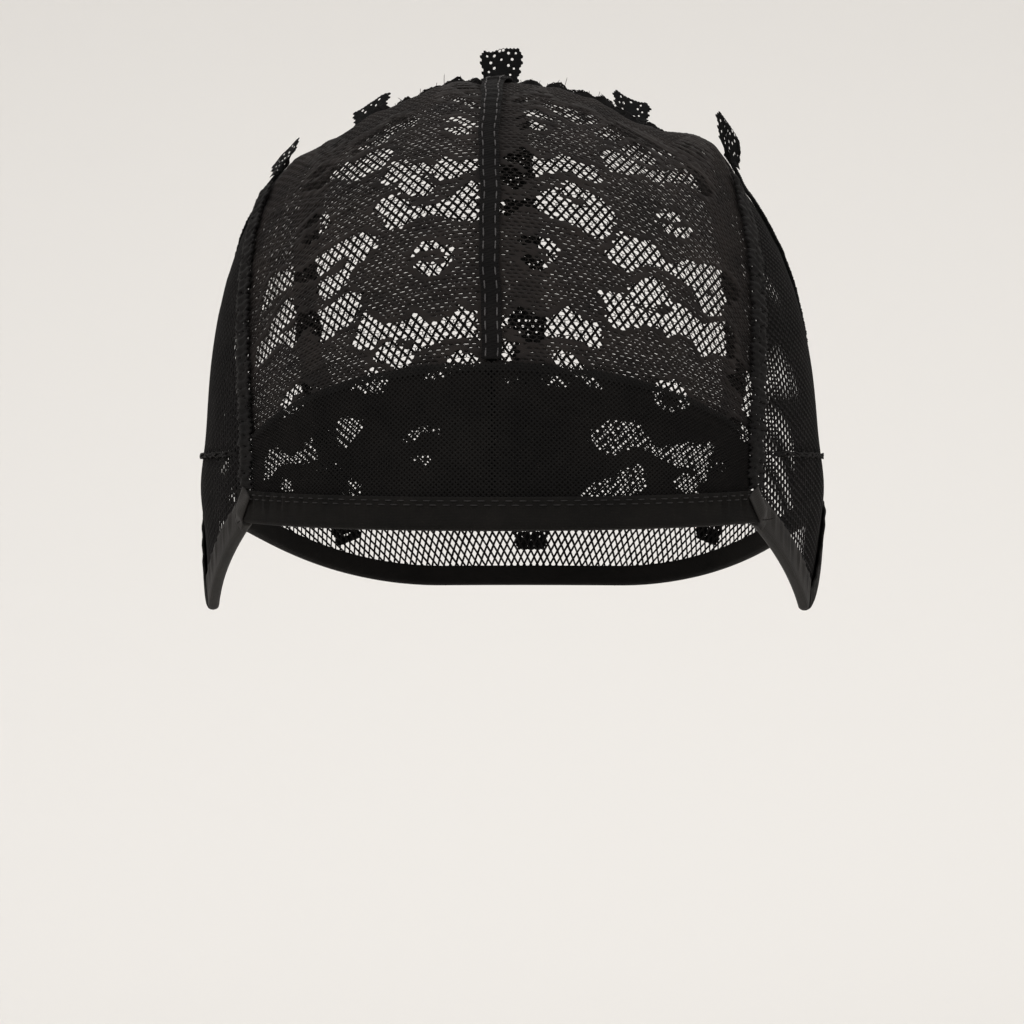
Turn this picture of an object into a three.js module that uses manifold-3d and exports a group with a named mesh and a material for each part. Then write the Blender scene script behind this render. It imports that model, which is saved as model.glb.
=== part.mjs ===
// A stretch wig cap in the form that a head gives it: a patterned lace front in two mirrored halves,
// a plain net back with five crocheted lace strips, net ear tabs and taped edges.
// Millimetres, +Z up. The wearer faces -Y, and "left" is the side towards -X, the left seen from the front.
// The origin is the inside of the crown, where the cap sits on the top of the head.

import * as THREE from "three";
import { mergeVertices } from "three/addons/utils/BufferGeometryUtils.js";
import Module from "manifold-3d";

const wasm = await Module();
wasm.setup();

// The head form, to the inner face of the net
const HALF_WIDTH = 78;
const FRONT_DEPTH = 92;
const BACK_DEPTH = 98;
const CROWN_HEIGHT = 100; // from the widest level up to the crown
const SKIRT_HEIGHT = 130; // sets how slowly the form narrows below the widest level
const SQUARENESS = 2.5; // 2 is a plain ellipsoid, more is squarer in the shoulders
const CROWN_LEAN = 3.4; // how far the crown leans towards -X

// Walls and clearances
const NET = 1; // thickness of one layer of net or lace
const TAPE = 0.8; // thickness of ribbon
const STRIP = 1; // thickness of the crocheted strips
const GAP = 0.3; // clearance between pieces that touch
const STRIP_GAP = 0.6; // the strips and the crown seam need more, over the curve of the net

// Levels of the edges, measured down from the widest level
const HEM_DROP = 10; // front hem, at its ends
const HEM_DIP = 1.8; // how much lower the hem hangs in the middle
const EAR_TIP_DROP = 32;
const EAR_ARCH_DROP = 9.5;
const NAPE_DROP = 28;
const EAR_SEAM_RISE = 6; // the seam over the ear tab, above the widest level

// Azimuths round the head in degrees, 0 at the front and 180 at the back
const EAR_TIP_AZIMUTH = 71;
const EAR_BACK_TOP_AZIMUTH = 89; // back edge of the ear tab, which slants
const EAR_BACK_LOW_AZIMUTH = 95;
const EAR_ARCH_AZIMUTH = 99;
const NAPE_AZIMUTH = 165; // from here to the back the nape is level
const BACK_AZIMUTH = 180;

// The lace front, in degrees: pitch turns up and over the head from the front, spread goes out sideways
const HEM_SPREAD_ANGLE = 46.5;
const CROWN_SPREAD_ANGLE = 34;
const CROWN_PITCH_ANGLE = 92;
const CROWN_END_PITCH_ANGLE = 80;
const SIDE_CURVE = 3; // power by which the side seams lean in towards the crown

// Widths of tapes and bands
const HEM_TAPE_WIDTH = 7;
const EAR_TAPE_WIDTH = 5.5;
const BINDING_WIDTH = 4.5;
const SIDE_BAND_WIDTH = 5.6;
const SIDE_BAND_END = 10; // the side band stops this far short of the crown seam
const CENTRE_TAPE_LOW_WIDTH = 4.6;
const CENTRE_TAPE_TOP_WIDTH = 6.4;
const TAPE_FLARE = 3; // power by which the centre tape widens towards the crown
const BAND_RISE = 27; // the forehead band's top in the middle, above the widest level
const BAND_END_RISE = 10;

// Gathers: the crown seam's and the ear seams' standing edges, and the puffed net under the ear seams
const FRILL = 1.1; // thickness of the gathered edge
const FRILL_WAVE = 0.8;
const FRILL_RIPPLE = 0.2; // share of a gathered edge's height by which its crest rises and falls
const CRESTS_PER_WAVE = 1.5;
const CROWN_FRILL_HEIGHT = 3.4;
const CROWN_FRILL_WAVES = 11;
const CROWN_FRILL_END = 0.84; // share of the crown seam, up to the outer strips
const EAR_FRILL_HEIGHT = 1.9;
const EAR_FRILL_WAVES = 5;
const EAR_PUFF_HEIGHT = 1.5;
const EAR_PUFF_DROP = 2; // middle of the puff, below the widest level
const EAR_PUFF_REACH = 10;
const EAR_PUFF_AZIMUTH = 84;
const EAR_PUFF_ANGLE = 16; // degrees round the head over which the puff dies out

// Folds along the crown seam: place and width are shares of CROWN_SPREAD_ANGLE, height of FOLD_HEIGHT
const FOLD_HEIGHT = 3;
const FOLD_REACH_ANGLE = 22; // degrees of pitch over which the crown folds die out
const CROWN_FOLDS = [
  { place: -0.7, width: 0.2, height: -1.15 },
  { place: -0.4, width: 0.15, height: -0.6 },
  { place: -0.2, width: 0.13, height: 0.6 },
  { place: 0.1, width: 0.12, height: 0.3 },
  { place: 0.62, width: 0.2, height: -1.15 },
  { place: 0.93, width: 0.15, height: 1 },
];

// Crocheted strips: crown is a share of CROWN_SPREAD_ANGLE, azimuth is where the strip meets the lower edge,
// and height is that of its standing end as a share of STRIP_END_HEIGHT
const STRIP_WIDTH = 10.3;
const STRIP_WAIST = 8.2; // between two scallops
const STRIP_REPEAT = 14;
const STRIP_HOLE_WIDTH = 4.8;
const STRIP_HOLE_LENGTH = 5;
const STRIP_HOLE_DEPTH = 4; // more than the strip is thick
const STRIP_END_HEIGHT = 10.5;
const STRIP_SETBACK = 3.6; // from the crown seam to the standing end
const STRIP_FOOT = 4.5; // from the binding to the strip's lower end, which meets it aslant
const STRIPS = [
  { name: "outer_left", crown: -0.97, azimuth: -118, height: 0.8 },
  { name: "inner_left", crown: -0.56, azimuth: -149, height: 0.78 },
  { name: "centre", crown: 0, azimuth: 180, height: 1 },
  { name: "inner_right", crown: 0.55, azimuth: 149, height: 0.8 },
  { name: "outer_right", crown: 0.97, azimuth: 118, height: 0.9 },
];

// Facets
const FRONT_COLUMNS = 13;
const FRONT_ROWS = 14;
const EAR_COLUMNS = 5; // on each side of the ear tab's tip
const EAR_ROWS = 5;
const BACK_COLUMNS = 11; // from the ear tab to the middle of the back
const BACK_ROWS = 10;
const BAND_ROWS = 4;
const SIDE_STEPS = 18;
const STEPS_PER_WAVE = 5;
const STRIP_PATH_STEPS = 24;
const HOLE_SIDES = 4;

const LACE_BLACK = "#1f1b1b";
const NET_BLACK = "#1a1818";
const TAPE_GREY = "#2b2a2a";
const EAR_TAPE_GREY = "#3a3535";
const STRIP_BLACK = "#0c0c0c";

const { degToRad, radToDeg, lerp, clamp, smoothstep } = THREE.MathUtils;

// Degrees that a length takes up on the widest part of the form
const degreesOf = (length) => radToDeg(length / HALF_WIDTH);
const SEAM = degreesOf(GAP) / 2; // each panel stops this far from its seam line
const OVERLAY = NET + GAP; // lift of what lies on the net

// The form is the surface where the sum of its level term and its upright term is 1
function formTerms(p) {
  const depth = p.y < 0 ? FRONT_DEPTH : BACK_DEPTH;
  const height = p.z < 0 ? SKIRT_HEIGHT : CROWN_HEIGHT;
  const round = (p.x / HALF_WIDTH) ** 2 + (p.y / depth) ** 2;
  return { depth, height, round, upright: Math.abs(p.z) / height };
}

// The point of the form in a direction from its middle, which lies at the widest level
function onForm(direction) {
  const { round, upright } = formTerms(direction);
  const size = round ** (SQUARENESS / 2) + upright ** SQUARENESS;
  return direction.clone().multiplyScalar(size ** (-1 / SQUARENESS));
}

function formNormal(p) {
  const { depth, height, round, upright } = formTerms(p);
  const level = round ** (SQUARENESS / 2 - 1);
  const lift = (Math.sign(p.z) * upright ** (SQUARENESS - 1)) / height;
  return new THREE.Vector3((level * p.x) / HALF_WIDTH ** 2, (level * p.y) / depth ** 2, lift).normalize();
}

// A direction by pitch and spread, in degrees
function pitched(pitch, spread) {
  const a = degToRad(pitch);
  const b = degToRad(spread);
  return new THREE.Vector3(Math.sin(b), -Math.cos(b) * Math.cos(a), Math.cos(b) * Math.sin(a));
}

// A point of the form by azimuth in degrees and height over the widest level
function atLevel(azimuth, height) {
  const a = degToRad(azimuth);
  const flat = new THREE.Vector3(Math.sin(a), -Math.cos(a), 0);
  const share = Math.abs(height) / (height < 0 ? SKIRT_HEIGHT : CROWN_HEIGHT);
  const radius = (1 - share ** SQUARENESS) ** (1 / SQUARENESS) / Math.sqrt(formTerms(flat).round);
  return flat.multiplyScalar(radius).setZ(height);
}

const pitchOf = (p) => radToDeg(Math.atan2(p.z, -p.y));
const spreadOf = (p) => radToDeg(Math.asin(p.x / p.length()));
const azimuthOf = (p) => radToDeg(Math.atan2(p.x, -p.y));
const bell = (x) => Math.exp(-(x ** 2));

// How far the folds at the crown and the puffs at the ear tabs lift the cloth off the plain form
function foldAt(p) {
  const share = spreadOf(p) / CROWN_SPREAD_ANGLE;
  const away = (pitchOf(p) - crownPitch(share)) / FOLD_REACH_ANGLE;
  const folds = CROWN_FOLDS.map((fold) => fold.height * bell((share - fold.place) / fold.width));
  return FOLD_HEIGHT * bell(away) * folds.reduce((sum, height) => sum + height, 0);
}

function puffAt(p) {
  const turn = (Math.abs(azimuthOf(p)) - EAR_PUFF_AZIMUTH) / EAR_PUFF_ANGLE;
  const rise = (p.z + EAR_PUFF_DROP) / EAR_PUFF_REACH;
  return EAR_PUFF_HEIGHT * bell(turn) * bell(rise);
}

// Puts a direction on the worn cap, lift above the inner face of the net, in the part's frame
function seat(direction, lift) {
  const base = onForm(direction);
  const p = base.clone().addScaledVector(formNormal(base), lift + foldAt(base) + puffAt(base));
  p.x += CROWN_LEAN * (1 - (Math.max(base.z, 0) / CROWN_HEIGHT) ** 2);
  p.z -= CROWN_HEIGHT;
  return p;
}

// The direction between two others, along the arc through both
function between(from, to, share) {
  const a = from.clone().normalize();
  const b = to.clone().normalize();
  const angle = a.angleTo(b);
  return a.multiplyScalar(Math.sin((1 - share) * angle)).addScaledVector(b, Math.sin(share * angle)).normalize();
}

// Edges of the panels. Along the front a share runs from -1 at the left side seam to 1 at the right.

function crownPitch(share) {
  return lerp(CROWN_PITCH_ANGLE, CROWN_END_PITCH_ANGLE, Math.min(share ** 2, 1));
}

function hemPitch(share) {
  const drop = HEM_DROP + HEM_DIP * (1 - share ** 2);
  return pitchOf(atLevel(share * HEM_SPREAD_ANGLE, -drop));
}

function risePitch(rise, share) {
  return pitchOf(atLevel(share * HEM_SPREAD_ANGLE, rise));
}

function sideSpread(pitch) {
  const rise = clamp((pitch - hemPitch(1)) / (CROWN_END_PITCH_ANGLE - hemPitch(1)), 0, 1);
  return lerp(HEM_SPREAD_ANGLE, CROWN_SPREAD_ANGLE, rise ** SIDE_CURVE);
}

function bandTopPitch(share) {
  return risePitch(lerp(BAND_RISE, BAND_END_RISE, share ** 2), share);
}

const SIDE_AZIMUTH = azimuthOf(pitched(hemPitch(1), HEM_SPREAD_ANGLE));

// Height of the cap's lower edge over the widest level, behind the front hem
function lowerEdge(azimuth) {
  const a = Math.abs(azimuth);
  if (a < EAR_TIP_AZIMUTH)
    return -lerp(HEM_DROP, EAR_TIP_DROP, (a - SIDE_AZIMUTH) / (EAR_TIP_AZIMUTH - SIDE_AZIMUTH));
  if (a < EAR_ARCH_AZIMUTH)
    return -lerp(EAR_TIP_DROP, EAR_ARCH_DROP, smoothstep(a, EAR_TIP_AZIMUTH, EAR_ARCH_AZIMUTH));
  return -lerp(EAR_ARCH_DROP, NAPE_DROP, smoothstep(a, EAR_ARCH_AZIMUTH, NAPE_AZIMUTH));
}

const lowerEdgePoint = (azimuth) => atLevel(azimuth, lowerEdge(azimuth));

// The same for azimuths that run on past the middle of the back
function lowerEdgeRound(azimuth) {
  return lowerEdgePoint(azimuth > BACK_AZIMUTH ? azimuth - 2 * BACK_AZIMUTH : azimuth);
}

const FRONT_SHARES = spaced(-1, 1, 2 * FRONT_COLUMNS);

// Solids

function volumeOf(positions, index) {
  const corner = (i) => new THREE.Vector3().fromArray(positions, 3 * i);
  let sum = 0;
  for (let i = 0; i < index.length; i += 3)
    sum += corner(index[i]).dot(corner(index[i + 1]).cross(corner(index[i + 2])));
  return sum;
}

// Closed solid from rings of points, all of one length, with capped ends. The first half of a ring runs
// along one face of the piece and the second half back along the other, so each cap is a row of quads.
function loft(rings) {
  const count = rings[0].length;
  const positions = rings.flat().flatMap((p) => p.toArray());
  const index = [];
  for (let i = 0; i + 1 < rings.length; i++)
    for (let j = 0; j < count; j++) {
      const a = i * count + j;
      const b = i * count + ((j + 1) % count);
      index.push(a, b, a + count, b, b + count, a + count);
    }
  const last = (rings.length - 1) * count;
  for (let j = 0; j + 1 < count / 2; j++) {
    const [a, b, c, d] = [j, j + 1, count - 2 - j, count - 1 - j];
    index.push(a, c, b, a, d, c);
    index.push(last + a, last + b, last + c, last + a, last + c, last + d);
  }
  if (volumeOf(positions, index) < 0) index.reverse();
  const geometry = new THREE.BufferGeometry();
  geometry.setAttribute("position", new THREE.Float32BufferAttribute(positions, 3));
  geometry.setIndex(index);
  geometry.computeVertexNormals();
  return geometry;
}

// Carries an outline of [across, lift] pairs through stations
function sweep(outline, stations, place) {
  return loft(stations.map((station) => outline.map(([across, lift]) => place(station, across, lift))));
}

// Evenly spaced values from one to another, both included
function spaced(from, to, steps) {
  return Array.from({ length: steps + 1 }, (_, i) => lerp(from, to, i / steps));
}

// Outline of a wall with so many rows from 0 to 1 across, between two lifts
function wall(rows, inner, outer) {
  const shares = spaced(0, 1, rows);
  return [...shares.map((v) => [v, inner]), ...shares.reverse().map((v) => [v, outer])];
}

// Outline of a flat band, to its middle and on to its other edge
function band(width, inner, outer) {
  const half = width / 2;
  return [
    [-half, inner],
    [0, inner],
    [half, inner],
    [half, outer],
    [0, outer],
    [-half, outer],
  ];
}

// Outline of a binding folded round an edge: across is 0 at the edge and grows into the panel
function binding(width, lift) {
  return [
    [width, -GAP],
    [-GAP, -GAP],
    [-GAP, lift],
    [width, lift],
    [width, lift + TAPE],
    [-GAP - TAPE, lift + TAPE],
    [-GAP - TAPE, -GAP - TAPE],
    [width, -GAP - TAPE],
  ];
}

// At a station of an edge: its point on the form, and the unit vectors along it and into the panel above it
function edgeFrame(edge, station) {
  const step = 1e-3;
  const point = onForm(edge(station));
  const tangent = onForm(edge(station + step)).sub(onForm(edge(station - step))).normalize();
  const inward = formNormal(point).cross(tangent).normalize();
  if (inward.z < 0) inward.negate();
  return { point, tangent, inward };
}

// A binding whose ends and stations are cut square to the edge, or upright
function edgeBinding(edge, stations, width, lift, upright = false) {
  return sweep(binding(width, lift), stations, (station, across, height) => {
    const { point, inward } = edgeFrame(edge, station);
    const normal = formNormal(point);
    const up = new THREE.Vector3(0, 0, 1).addScaledVector(normal, -normal.z);
    const way = upright ? up.divideScalar(up.dot(inward)) : inward;
    return seat(point.addScaledVector(way, across), height);
  });
}

// A flat band that lies on the cloth along an edge
function layBand(edge, stations, outline) {
  return sweep(outline, stations, (station, across, lift) => {
    const { point, tangent } = edgeFrame(edge, station);
    const sideways = formNormal(point).cross(tangent);
    return seat(point.addScaledVector(sideways, across), lift);
  });
}

function mesh(name, geometry, color, roughness = 0.9) {
  const made = new THREE.Mesh(geometry, new THREE.MeshStandardMaterial({ color, roughness, metalness: 0 }));
  made.name = name;
  return made;
}

// Front

function frontLace(side) {
  return sweep(wall(FRONT_ROWS, 0, NET), spaced(0, 1, FRONT_COLUMNS), (column, row, lift) => {
    const pitch = lerp(hemPitch(column), crownPitch(column) - SEAM, row);
    const spread = lerp(SEAM, sideSpread(pitch) - SEAM, column);
    return seat(pitched(pitch, side * spread), lift);
  });
}

function foreheadBand() {
  const inset = degreesOf(SIDE_BAND_WIDTH / 2 + GAP);
  return sweep(wall(BAND_ROWS, OVERLAY, OVERLAY + NET), FRONT_SHARES, (share, row, lift) => {
    const pitch = lerp(hemPitch(share), bandTopPitch(share), row);
    return seat(pitched(pitch, share * (sideSpread(pitch) - inset)), lift);
  });
}

function hemTape() {
  const edge = (share) => pitched(hemPitch(share), share * (HEM_SPREAD_ANGLE - SEAM));
  return edgeBinding(edge, FRONT_SHARES, HEM_TAPE_WIDTH, OVERLAY + NET + GAP);
}

function centreTape() {
  const low = bandTopPitch(0) + 2 * SEAM;
  const high = CROWN_PITCH_ANGLE - degreesOf(FRILL / 2 + FRILL_WAVE + GAP);
  return sweep(band(1, OVERLAY, OVERLAY + TAPE), spaced(0, 1, FRONT_ROWS), (along, across, lift) => {
    const width = lerp(CENTRE_TAPE_LOW_WIDTH, CENTRE_TAPE_TOP_WIDTH, along ** TAPE_FLARE);
    const middle = onForm(pitched(lerp(low, high, along), 0));
    middle.x += across * width;
    return seat(middle, lift);
  });
}

// Seams

// The folded seam allowance that covers a side seam, from the tapes at the hem nearly to the crown seam
function sideBand(side) {
  const low = risePitch(HEM_TAPE_WIDTH + GAP - HEM_DROP, 1);
  const high = CROWN_END_PITCH_ANGLE - degreesOf(SIDE_BAND_END);
  const edge = (pitch) => pitched(pitch, side * sideSpread(pitch));
  return layBand(edge, spaced(low, high, SIDE_STEPS), band(SIDE_BAND_WIDTH, OVERLAY, OVERLAY + NET));
}

// A gathered edge that stands on the cloth and waves from side to side as it rises
function frill(edge, waves, height, base) {
  const outline = [
    [-FRILL / 2, 0],
    [FRILL / 2, 0],
    [FRILL / 2, 1],
    [-FRILL / 2, 1],
  ];
  return sweep(outline, spaced(0, 1, waves * STEPS_PER_WAVE), (along, across, rise) => {
    const { point, tangent } = edgeFrame(edge, along);
    const sideways = formNormal(point).cross(tangent);
    const wave = FRILL_WAVE * Math.sin(2 * Math.PI * waves * along);
    const crest = height * (1 - FRILL_RIPPLE * Math.cos(2 * Math.PI * CRESTS_PER_WAVE * waves * along));
    return seat(point.addScaledVector(sideways, across + wave * rise), base + crest * rise);
  });
}

function crownSeam() {
  const edge = (along) => {
    const share = lerp(-CROWN_FRILL_END, CROWN_FRILL_END, along);
    return pitched(crownPitch(share), share * CROWN_SPREAD_ANGLE);
  };
  return frill(edge, CROWN_FRILL_WAVES, CROWN_FRILL_HEIGHT, NET + STRIP_GAP);
}

function earSeam(side) {
  const first = SIDE_AZIMUTH + degreesOf(SIDE_BAND_WIDTH / 2 + GAP);
  const edge = (along) => atLevel(side * lerp(first, EAR_BACK_TOP_AZIMUTH, along), EAR_SEAM_RISE);
  return frill(edge, EAR_FRILL_WAVES, EAR_FRILL_HEIGHT, OVERLAY);
}

// Ear tabs

// Azimuths of the ear tab's columns along its lower edge, and of the same columns along its seam
const EAR_LOW = [
  ...spaced(SIDE_AZIMUTH + 2 * SEAM, EAR_TIP_AZIMUTH, EAR_COLUMNS),
  ...spaced(EAR_TIP_AZIMUTH, EAR_BACK_LOW_AZIMUTH - 2 * SEAM, EAR_COLUMNS).slice(1),
];
const EAR_HIGH = spaced(SIDE_AZIMUTH + 2 * SEAM, EAR_BACK_TOP_AZIMUTH - 2 * SEAM, 2 * EAR_COLUMNS);

function earTab(side) {
  return sweep(wall(EAR_ROWS, 0, NET), [...EAR_LOW.keys()], (column, row, lift) => {
    const azimuth = lerp(EAR_LOW[column], EAR_HIGH[column], row);
    const height = lerp(lowerEdge(EAR_LOW[column]), EAR_SEAM_RISE - GAP / 2, row);
    return seat(atLevel(side * azimuth, height), lift);
  });
}

function earTape(side) {
  const stations = spaced(SIDE_AZIMUTH + 3 * SEAM, EAR_TIP_AZIMUTH - 3 * SEAM, EAR_COLUMNS);
  const edge = (azimuth) => lowerEdgePoint(side * azimuth);
  return edgeBinding(edge, stations, EAR_TAPE_WIDTH, NET + GAP, true);
}

// Back

// The back net's columns on one side, from the side seam to the middle of the back, each with the
// direction that it starts from on the lower edge or ear seam and the one that it ends at on the
// side seam or crown seam
function backColumns() {
  const earRise = EAR_SEAM_RISE + GAP / 2;
  const seam = (pitch) => pitched(pitch, sideSpread(pitch) + SEAM);
  const crown = (share) => pitched(crownPitch(share) + SEAM, share * (CROWN_SPREAD_ANGLE + SEAM));
  const ear = spaced(SIDE_AZIMUTH + SEAM, EAR_BACK_TOP_AZIMUTH, 2 * EAR_COLUMNS);
  const slantAzimuth = (EAR_BACK_TOP_AZIMUTH + EAR_BACK_LOW_AZIMUTH) / 2;
  const slantHeight = (earRise + lowerEdge(EAR_BACK_LOW_AZIMUTH)) / 2;
  const starts = [...ear.map((azimuth) => atLevel(azimuth, earRise)), atLevel(slantAzimuth, slantHeight)];
  const first = risePitch(EAR_SEAM_RISE + SIDE_BAND_WIDTH, 1);
  const pitches = spaced(first, CROWN_END_PITCH_ANGLE + SEAM, starts.length);
  const columns = starts.map((start, i) => [start, seam(pitches[i])]);
  const shares = spaced(1, 0, BACK_COLUMNS);
  const azimuths = spaced(EAR_BACK_LOW_AZIMUTH, BACK_AZIMUTH, BACK_COLUMNS);
  return [...columns, ...shares.map((share, i) => [lowerEdgePoint(azimuths[i]), crown(share)])];
}

const mirrored = (p) => p.clone().setX(-p.x);

function backNet() {
  const right = backColumns();
  const left = right.map((column) => column.map(mirrored));
  const columns = [...left, ...right.reverse().slice(1)];
  return sweep(wall(BACK_ROWS, 0, NET), columns, ([lowest, highest], row, lift) =>
    seat(between(lowest, highest, row), lift),
  );
}

// The binding runs from one ear tab's tip round the back to the other's
function backBinding() {
  const half = [
    EAR_TIP_AZIMUTH + 2 * SEAM,
    ...EAR_LOW.slice(EAR_COLUMNS + 1),
    ...spaced(EAR_BACK_LOW_AZIMUTH, BACK_AZIMUTH, BACK_COLUMNS),
  ];
  const stations = [...half, ...half.slice(0, -1).reverse().map((azimuth) => 2 * BACK_AZIMUTH - azimuth)];
  return edgeBinding(lowerEdgeRound, stations, BINDING_WIDTH, NET + GAP);
}

// Crocheted strips

function toManifold(geometry) {
  const bare = geometry.clone();
  bare.deleteAttribute("normal");
  bare.deleteAttribute("uv");
  const merged = mergeVertices(bare);
  const vertProperties = merged.attributes.position.array;
  const triVerts = new Uint32Array(merged.index.array);
  return new wasm.Manifold(new wasm.Mesh({ numProp: 3, vertProperties, triVerts }));
}

function fromManifold(solid) {
  const { vertProperties, triVerts } = solid.getMesh();
  const geometry = new THREE.BufferGeometry();
  geometry.setAttribute("position", new THREE.BufferAttribute(vertProperties, 3));
  geometry.setIndex(new THREE.BufferAttribute(triVerts, 1));
  geometry.computeVertexNormals();
  return geometry;
}

// A strip comes up the back net from the lower edge to the crown seam and ends standing up behind it.
// It is widest in the middle of each scallop, where it has a hole.
function laceStrip(strip) {
  const top = pitched(crownPitch(strip.crown), strip.crown * CROWN_SPREAD_ANGLE);
  const bottom = lowerEdgePoint(strip.azimuth);
  const route = spaced(0, 1, STRIP_PATH_STEPS).map((t) => onForm(between(top, bottom, t)));
  const path = new THREE.CatmullRomCurve3(route);
  const laid = path.getLength() - STRIP_SETBACK - BINDING_WIDTH - STRIP_FOOT;
  const steps = 2 * Math.round(laid / STRIP_REPEAT);
  const standing = Math.max(2, Math.round((2 * STRIP_END_HEIGHT * strip.height) / STRIP_REPEAT));
  const rise = (STRIP_END_HEIGHT * strip.height) / standing;
  const middleLift = NET + STRIP_GAP + STRIP / 2;
  const stationAt = (i) => {
    const share = (STRIP_SETBACK + (laid * Math.max(i, 0)) / steps) / path.getLength();
    const point = path.getPointAt(share);
    const down = path.getTangentAt(share);
    const out = formNormal(point);
    const across = out.clone().cross(down).normalize();
    return { point, down: across.clone().cross(out), out, across };
  };
  const isWaist = (i) => i % 2 === 0;
  const place = (i, u, v) => {
    const { point, down, out, across } = stationAt(i);
    const width = isWaist(i) ? STRIP_WAIST : STRIP_WIDTH;
    const side = point.clone().addScaledVector(across, u * width);
    if (i > 0) return seat(side, middleLift + v * STRIP);
    const mitre = i === 0 ? v * STRIP : 0;
    const upright = down.multiplyScalar(v * STRIP).addScaledVector(out, mitre - i * rise);
    return seat(side, middleLift).add(upright);
  };
  const stations = spaced(-standing, steps, standing + steps);
  const body = sweep(band(1, -0.5, 0.5), stations, place);
  const holes = stations.slice(1, -1).filter((i) => !isWaist(i)).map((i) => {
    const { down, out, across } = stationAt(i);
    return i < 0 ? hole(place(i, 0, 0), across, down, out) : hole(place(i, 0, 0), across, out, down);
  });
  return fromManifold(toManifold(body).subtract(wasm.Manifold.union(holes)));
}

// A prism along the given way through the strip
function hole(middle, across, through, along) {
  const prism = new THREE.CylinderGeometry(0.5, 0.5, STRIP_HOLE_DEPTH, HOLE_SIDES);
  prism.scale(STRIP_HOLE_WIDTH, 1, STRIP_HOLE_LENGTH);
  const basis = new THREE.Matrix4().makeBasis(across, through, across.clone().cross(through));
  prism.applyMatrix4(basis);
  prism.translate(...middle);
  return toManifold(prism);
}

const cap = new THREE.Group();
cap.name = "wig_cap";

for (const [side, name] of [
  [-1, "left"],
  [1, "right"],
]) {
  cap.add(mesh(`front_lace_${name}`, frontLace(side), LACE_BLACK));
  cap.add(mesh(`side_seam_${name}`, sideBand(side), NET_BLACK));
  cap.add(mesh(`ear_tab_${name}`, earTab(side), NET_BLACK));
  cap.add(mesh(`ear_seam_${name}`, earSeam(side), NET_BLACK));
  cap.add(mesh(`ear_tape_${name}`, earTape(side), EAR_TAPE_GREY, 0.7));
}
cap.add(mesh("forehead_band", foreheadBand(), LACE_BLACK));
cap.add(mesh("front_hem_tape", hemTape(), TAPE_GREY, 0.7));
cap.add(mesh("centre_seam_tape", centreTape(), TAPE_GREY, 0.8));
cap.add(mesh("crown_seam", crownSeam(), NET_BLACK));
cap.add(mesh("back_net", backNet(), NET_BLACK));
cap.add(mesh("back_binding", backBinding(), TAPE_GREY, 0.7));
for (const strip of STRIPS) cap.add(mesh(`lace_strip_${strip.name}`, laceStrip(strip), STRIP_BLACK, 0.8));

export default cap;
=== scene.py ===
# A stretch wig cap in the form that a head gives it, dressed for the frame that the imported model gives.
# Lengths of the cap are in millimetres, as in the CAD source, and become metres in seat().
# Radii of threads, lengths of loose fibres, the stage and the camera are in metres.

import math

import bpy
import numpy as np
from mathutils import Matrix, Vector


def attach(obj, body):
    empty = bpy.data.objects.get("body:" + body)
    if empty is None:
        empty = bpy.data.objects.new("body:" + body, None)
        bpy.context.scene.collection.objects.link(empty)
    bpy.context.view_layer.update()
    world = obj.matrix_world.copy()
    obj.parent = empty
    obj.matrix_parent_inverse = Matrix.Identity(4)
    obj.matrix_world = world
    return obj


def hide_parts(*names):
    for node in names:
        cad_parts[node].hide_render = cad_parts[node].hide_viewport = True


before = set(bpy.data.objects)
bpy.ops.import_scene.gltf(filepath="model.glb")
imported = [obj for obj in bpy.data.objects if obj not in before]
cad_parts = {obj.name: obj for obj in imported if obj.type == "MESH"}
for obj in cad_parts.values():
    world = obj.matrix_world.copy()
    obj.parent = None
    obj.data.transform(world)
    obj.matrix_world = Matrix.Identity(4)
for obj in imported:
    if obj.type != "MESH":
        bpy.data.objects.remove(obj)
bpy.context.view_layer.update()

METRE = 1000.0

# The head form, to the inner face of the net
HALF_WIDTH = 78
FRONT_DEPTH = 92
BACK_DEPTH = 98
CROWN_HEIGHT = 100
SKIRT_HEIGHT = 130
SQUARENESS = 2.5
CROWN_LEAN = 3.4

NET = 1
TAPE = 0.8
GAP = 0.3
OVERLAY = NET + GAP
HEM_TAPE_LIFT = OVERLAY + NET + GAP

HEM_DROP = 10
HEM_DIP = 1.8
EAR_TIP_DROP = 32
EAR_ARCH_DROP = 9.5
NAPE_DROP = 28
EAR_SEAM_RISE = 6

EAR_TIP_AZIMUTH = 71
EAR_BACK_TOP_AZIMUTH = 89
EAR_BACK_LOW_AZIMUTH = 95
EAR_ARCH_AZIMUTH = 99
NAPE_AZIMUTH = 165

HEM_SPREAD_ANGLE = 46.5
CROWN_SPREAD_ANGLE = 34
CROWN_PITCH_ANGLE = 92
CROWN_END_PITCH_ANGLE = 80
SIDE_CURVE = 3

HEM_TAPE_WIDTH = 7
EAR_TAPE_WIDTH = 5.5
BINDING_WIDTH = 4.5
SIDE_BAND_WIDTH = 5.6
SIDE_BAND_END = 10
CENTRE_TAPE_LOW_WIDTH = 4.6
CENTRE_TAPE_TOP_WIDTH = 6.4
TAPE_FLARE = 3
BAND_RISE = 27
BAND_END_RISE = 10

FRILL_WAVE = 0.8
CROWN_FRILL_HEIGHT = 3.4
CROWN_FRILL_WAVES = 22
CROWN_FRILL_END = 0.84
EAR_FRILL_HEIGHT = 1.3
FRILL_TAPER = 0.2
FRILL_TEETH = 0.3
EAR_FRILL_WAVES = 9
EAR_PUFF_HEIGHT = 1.5
EAR_PUFF_DROP = 2
EAR_PUFF_REACH = 10
EAR_PUFF_AZIMUTH = 84
EAR_PUFF_ANGLE = 16

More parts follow.
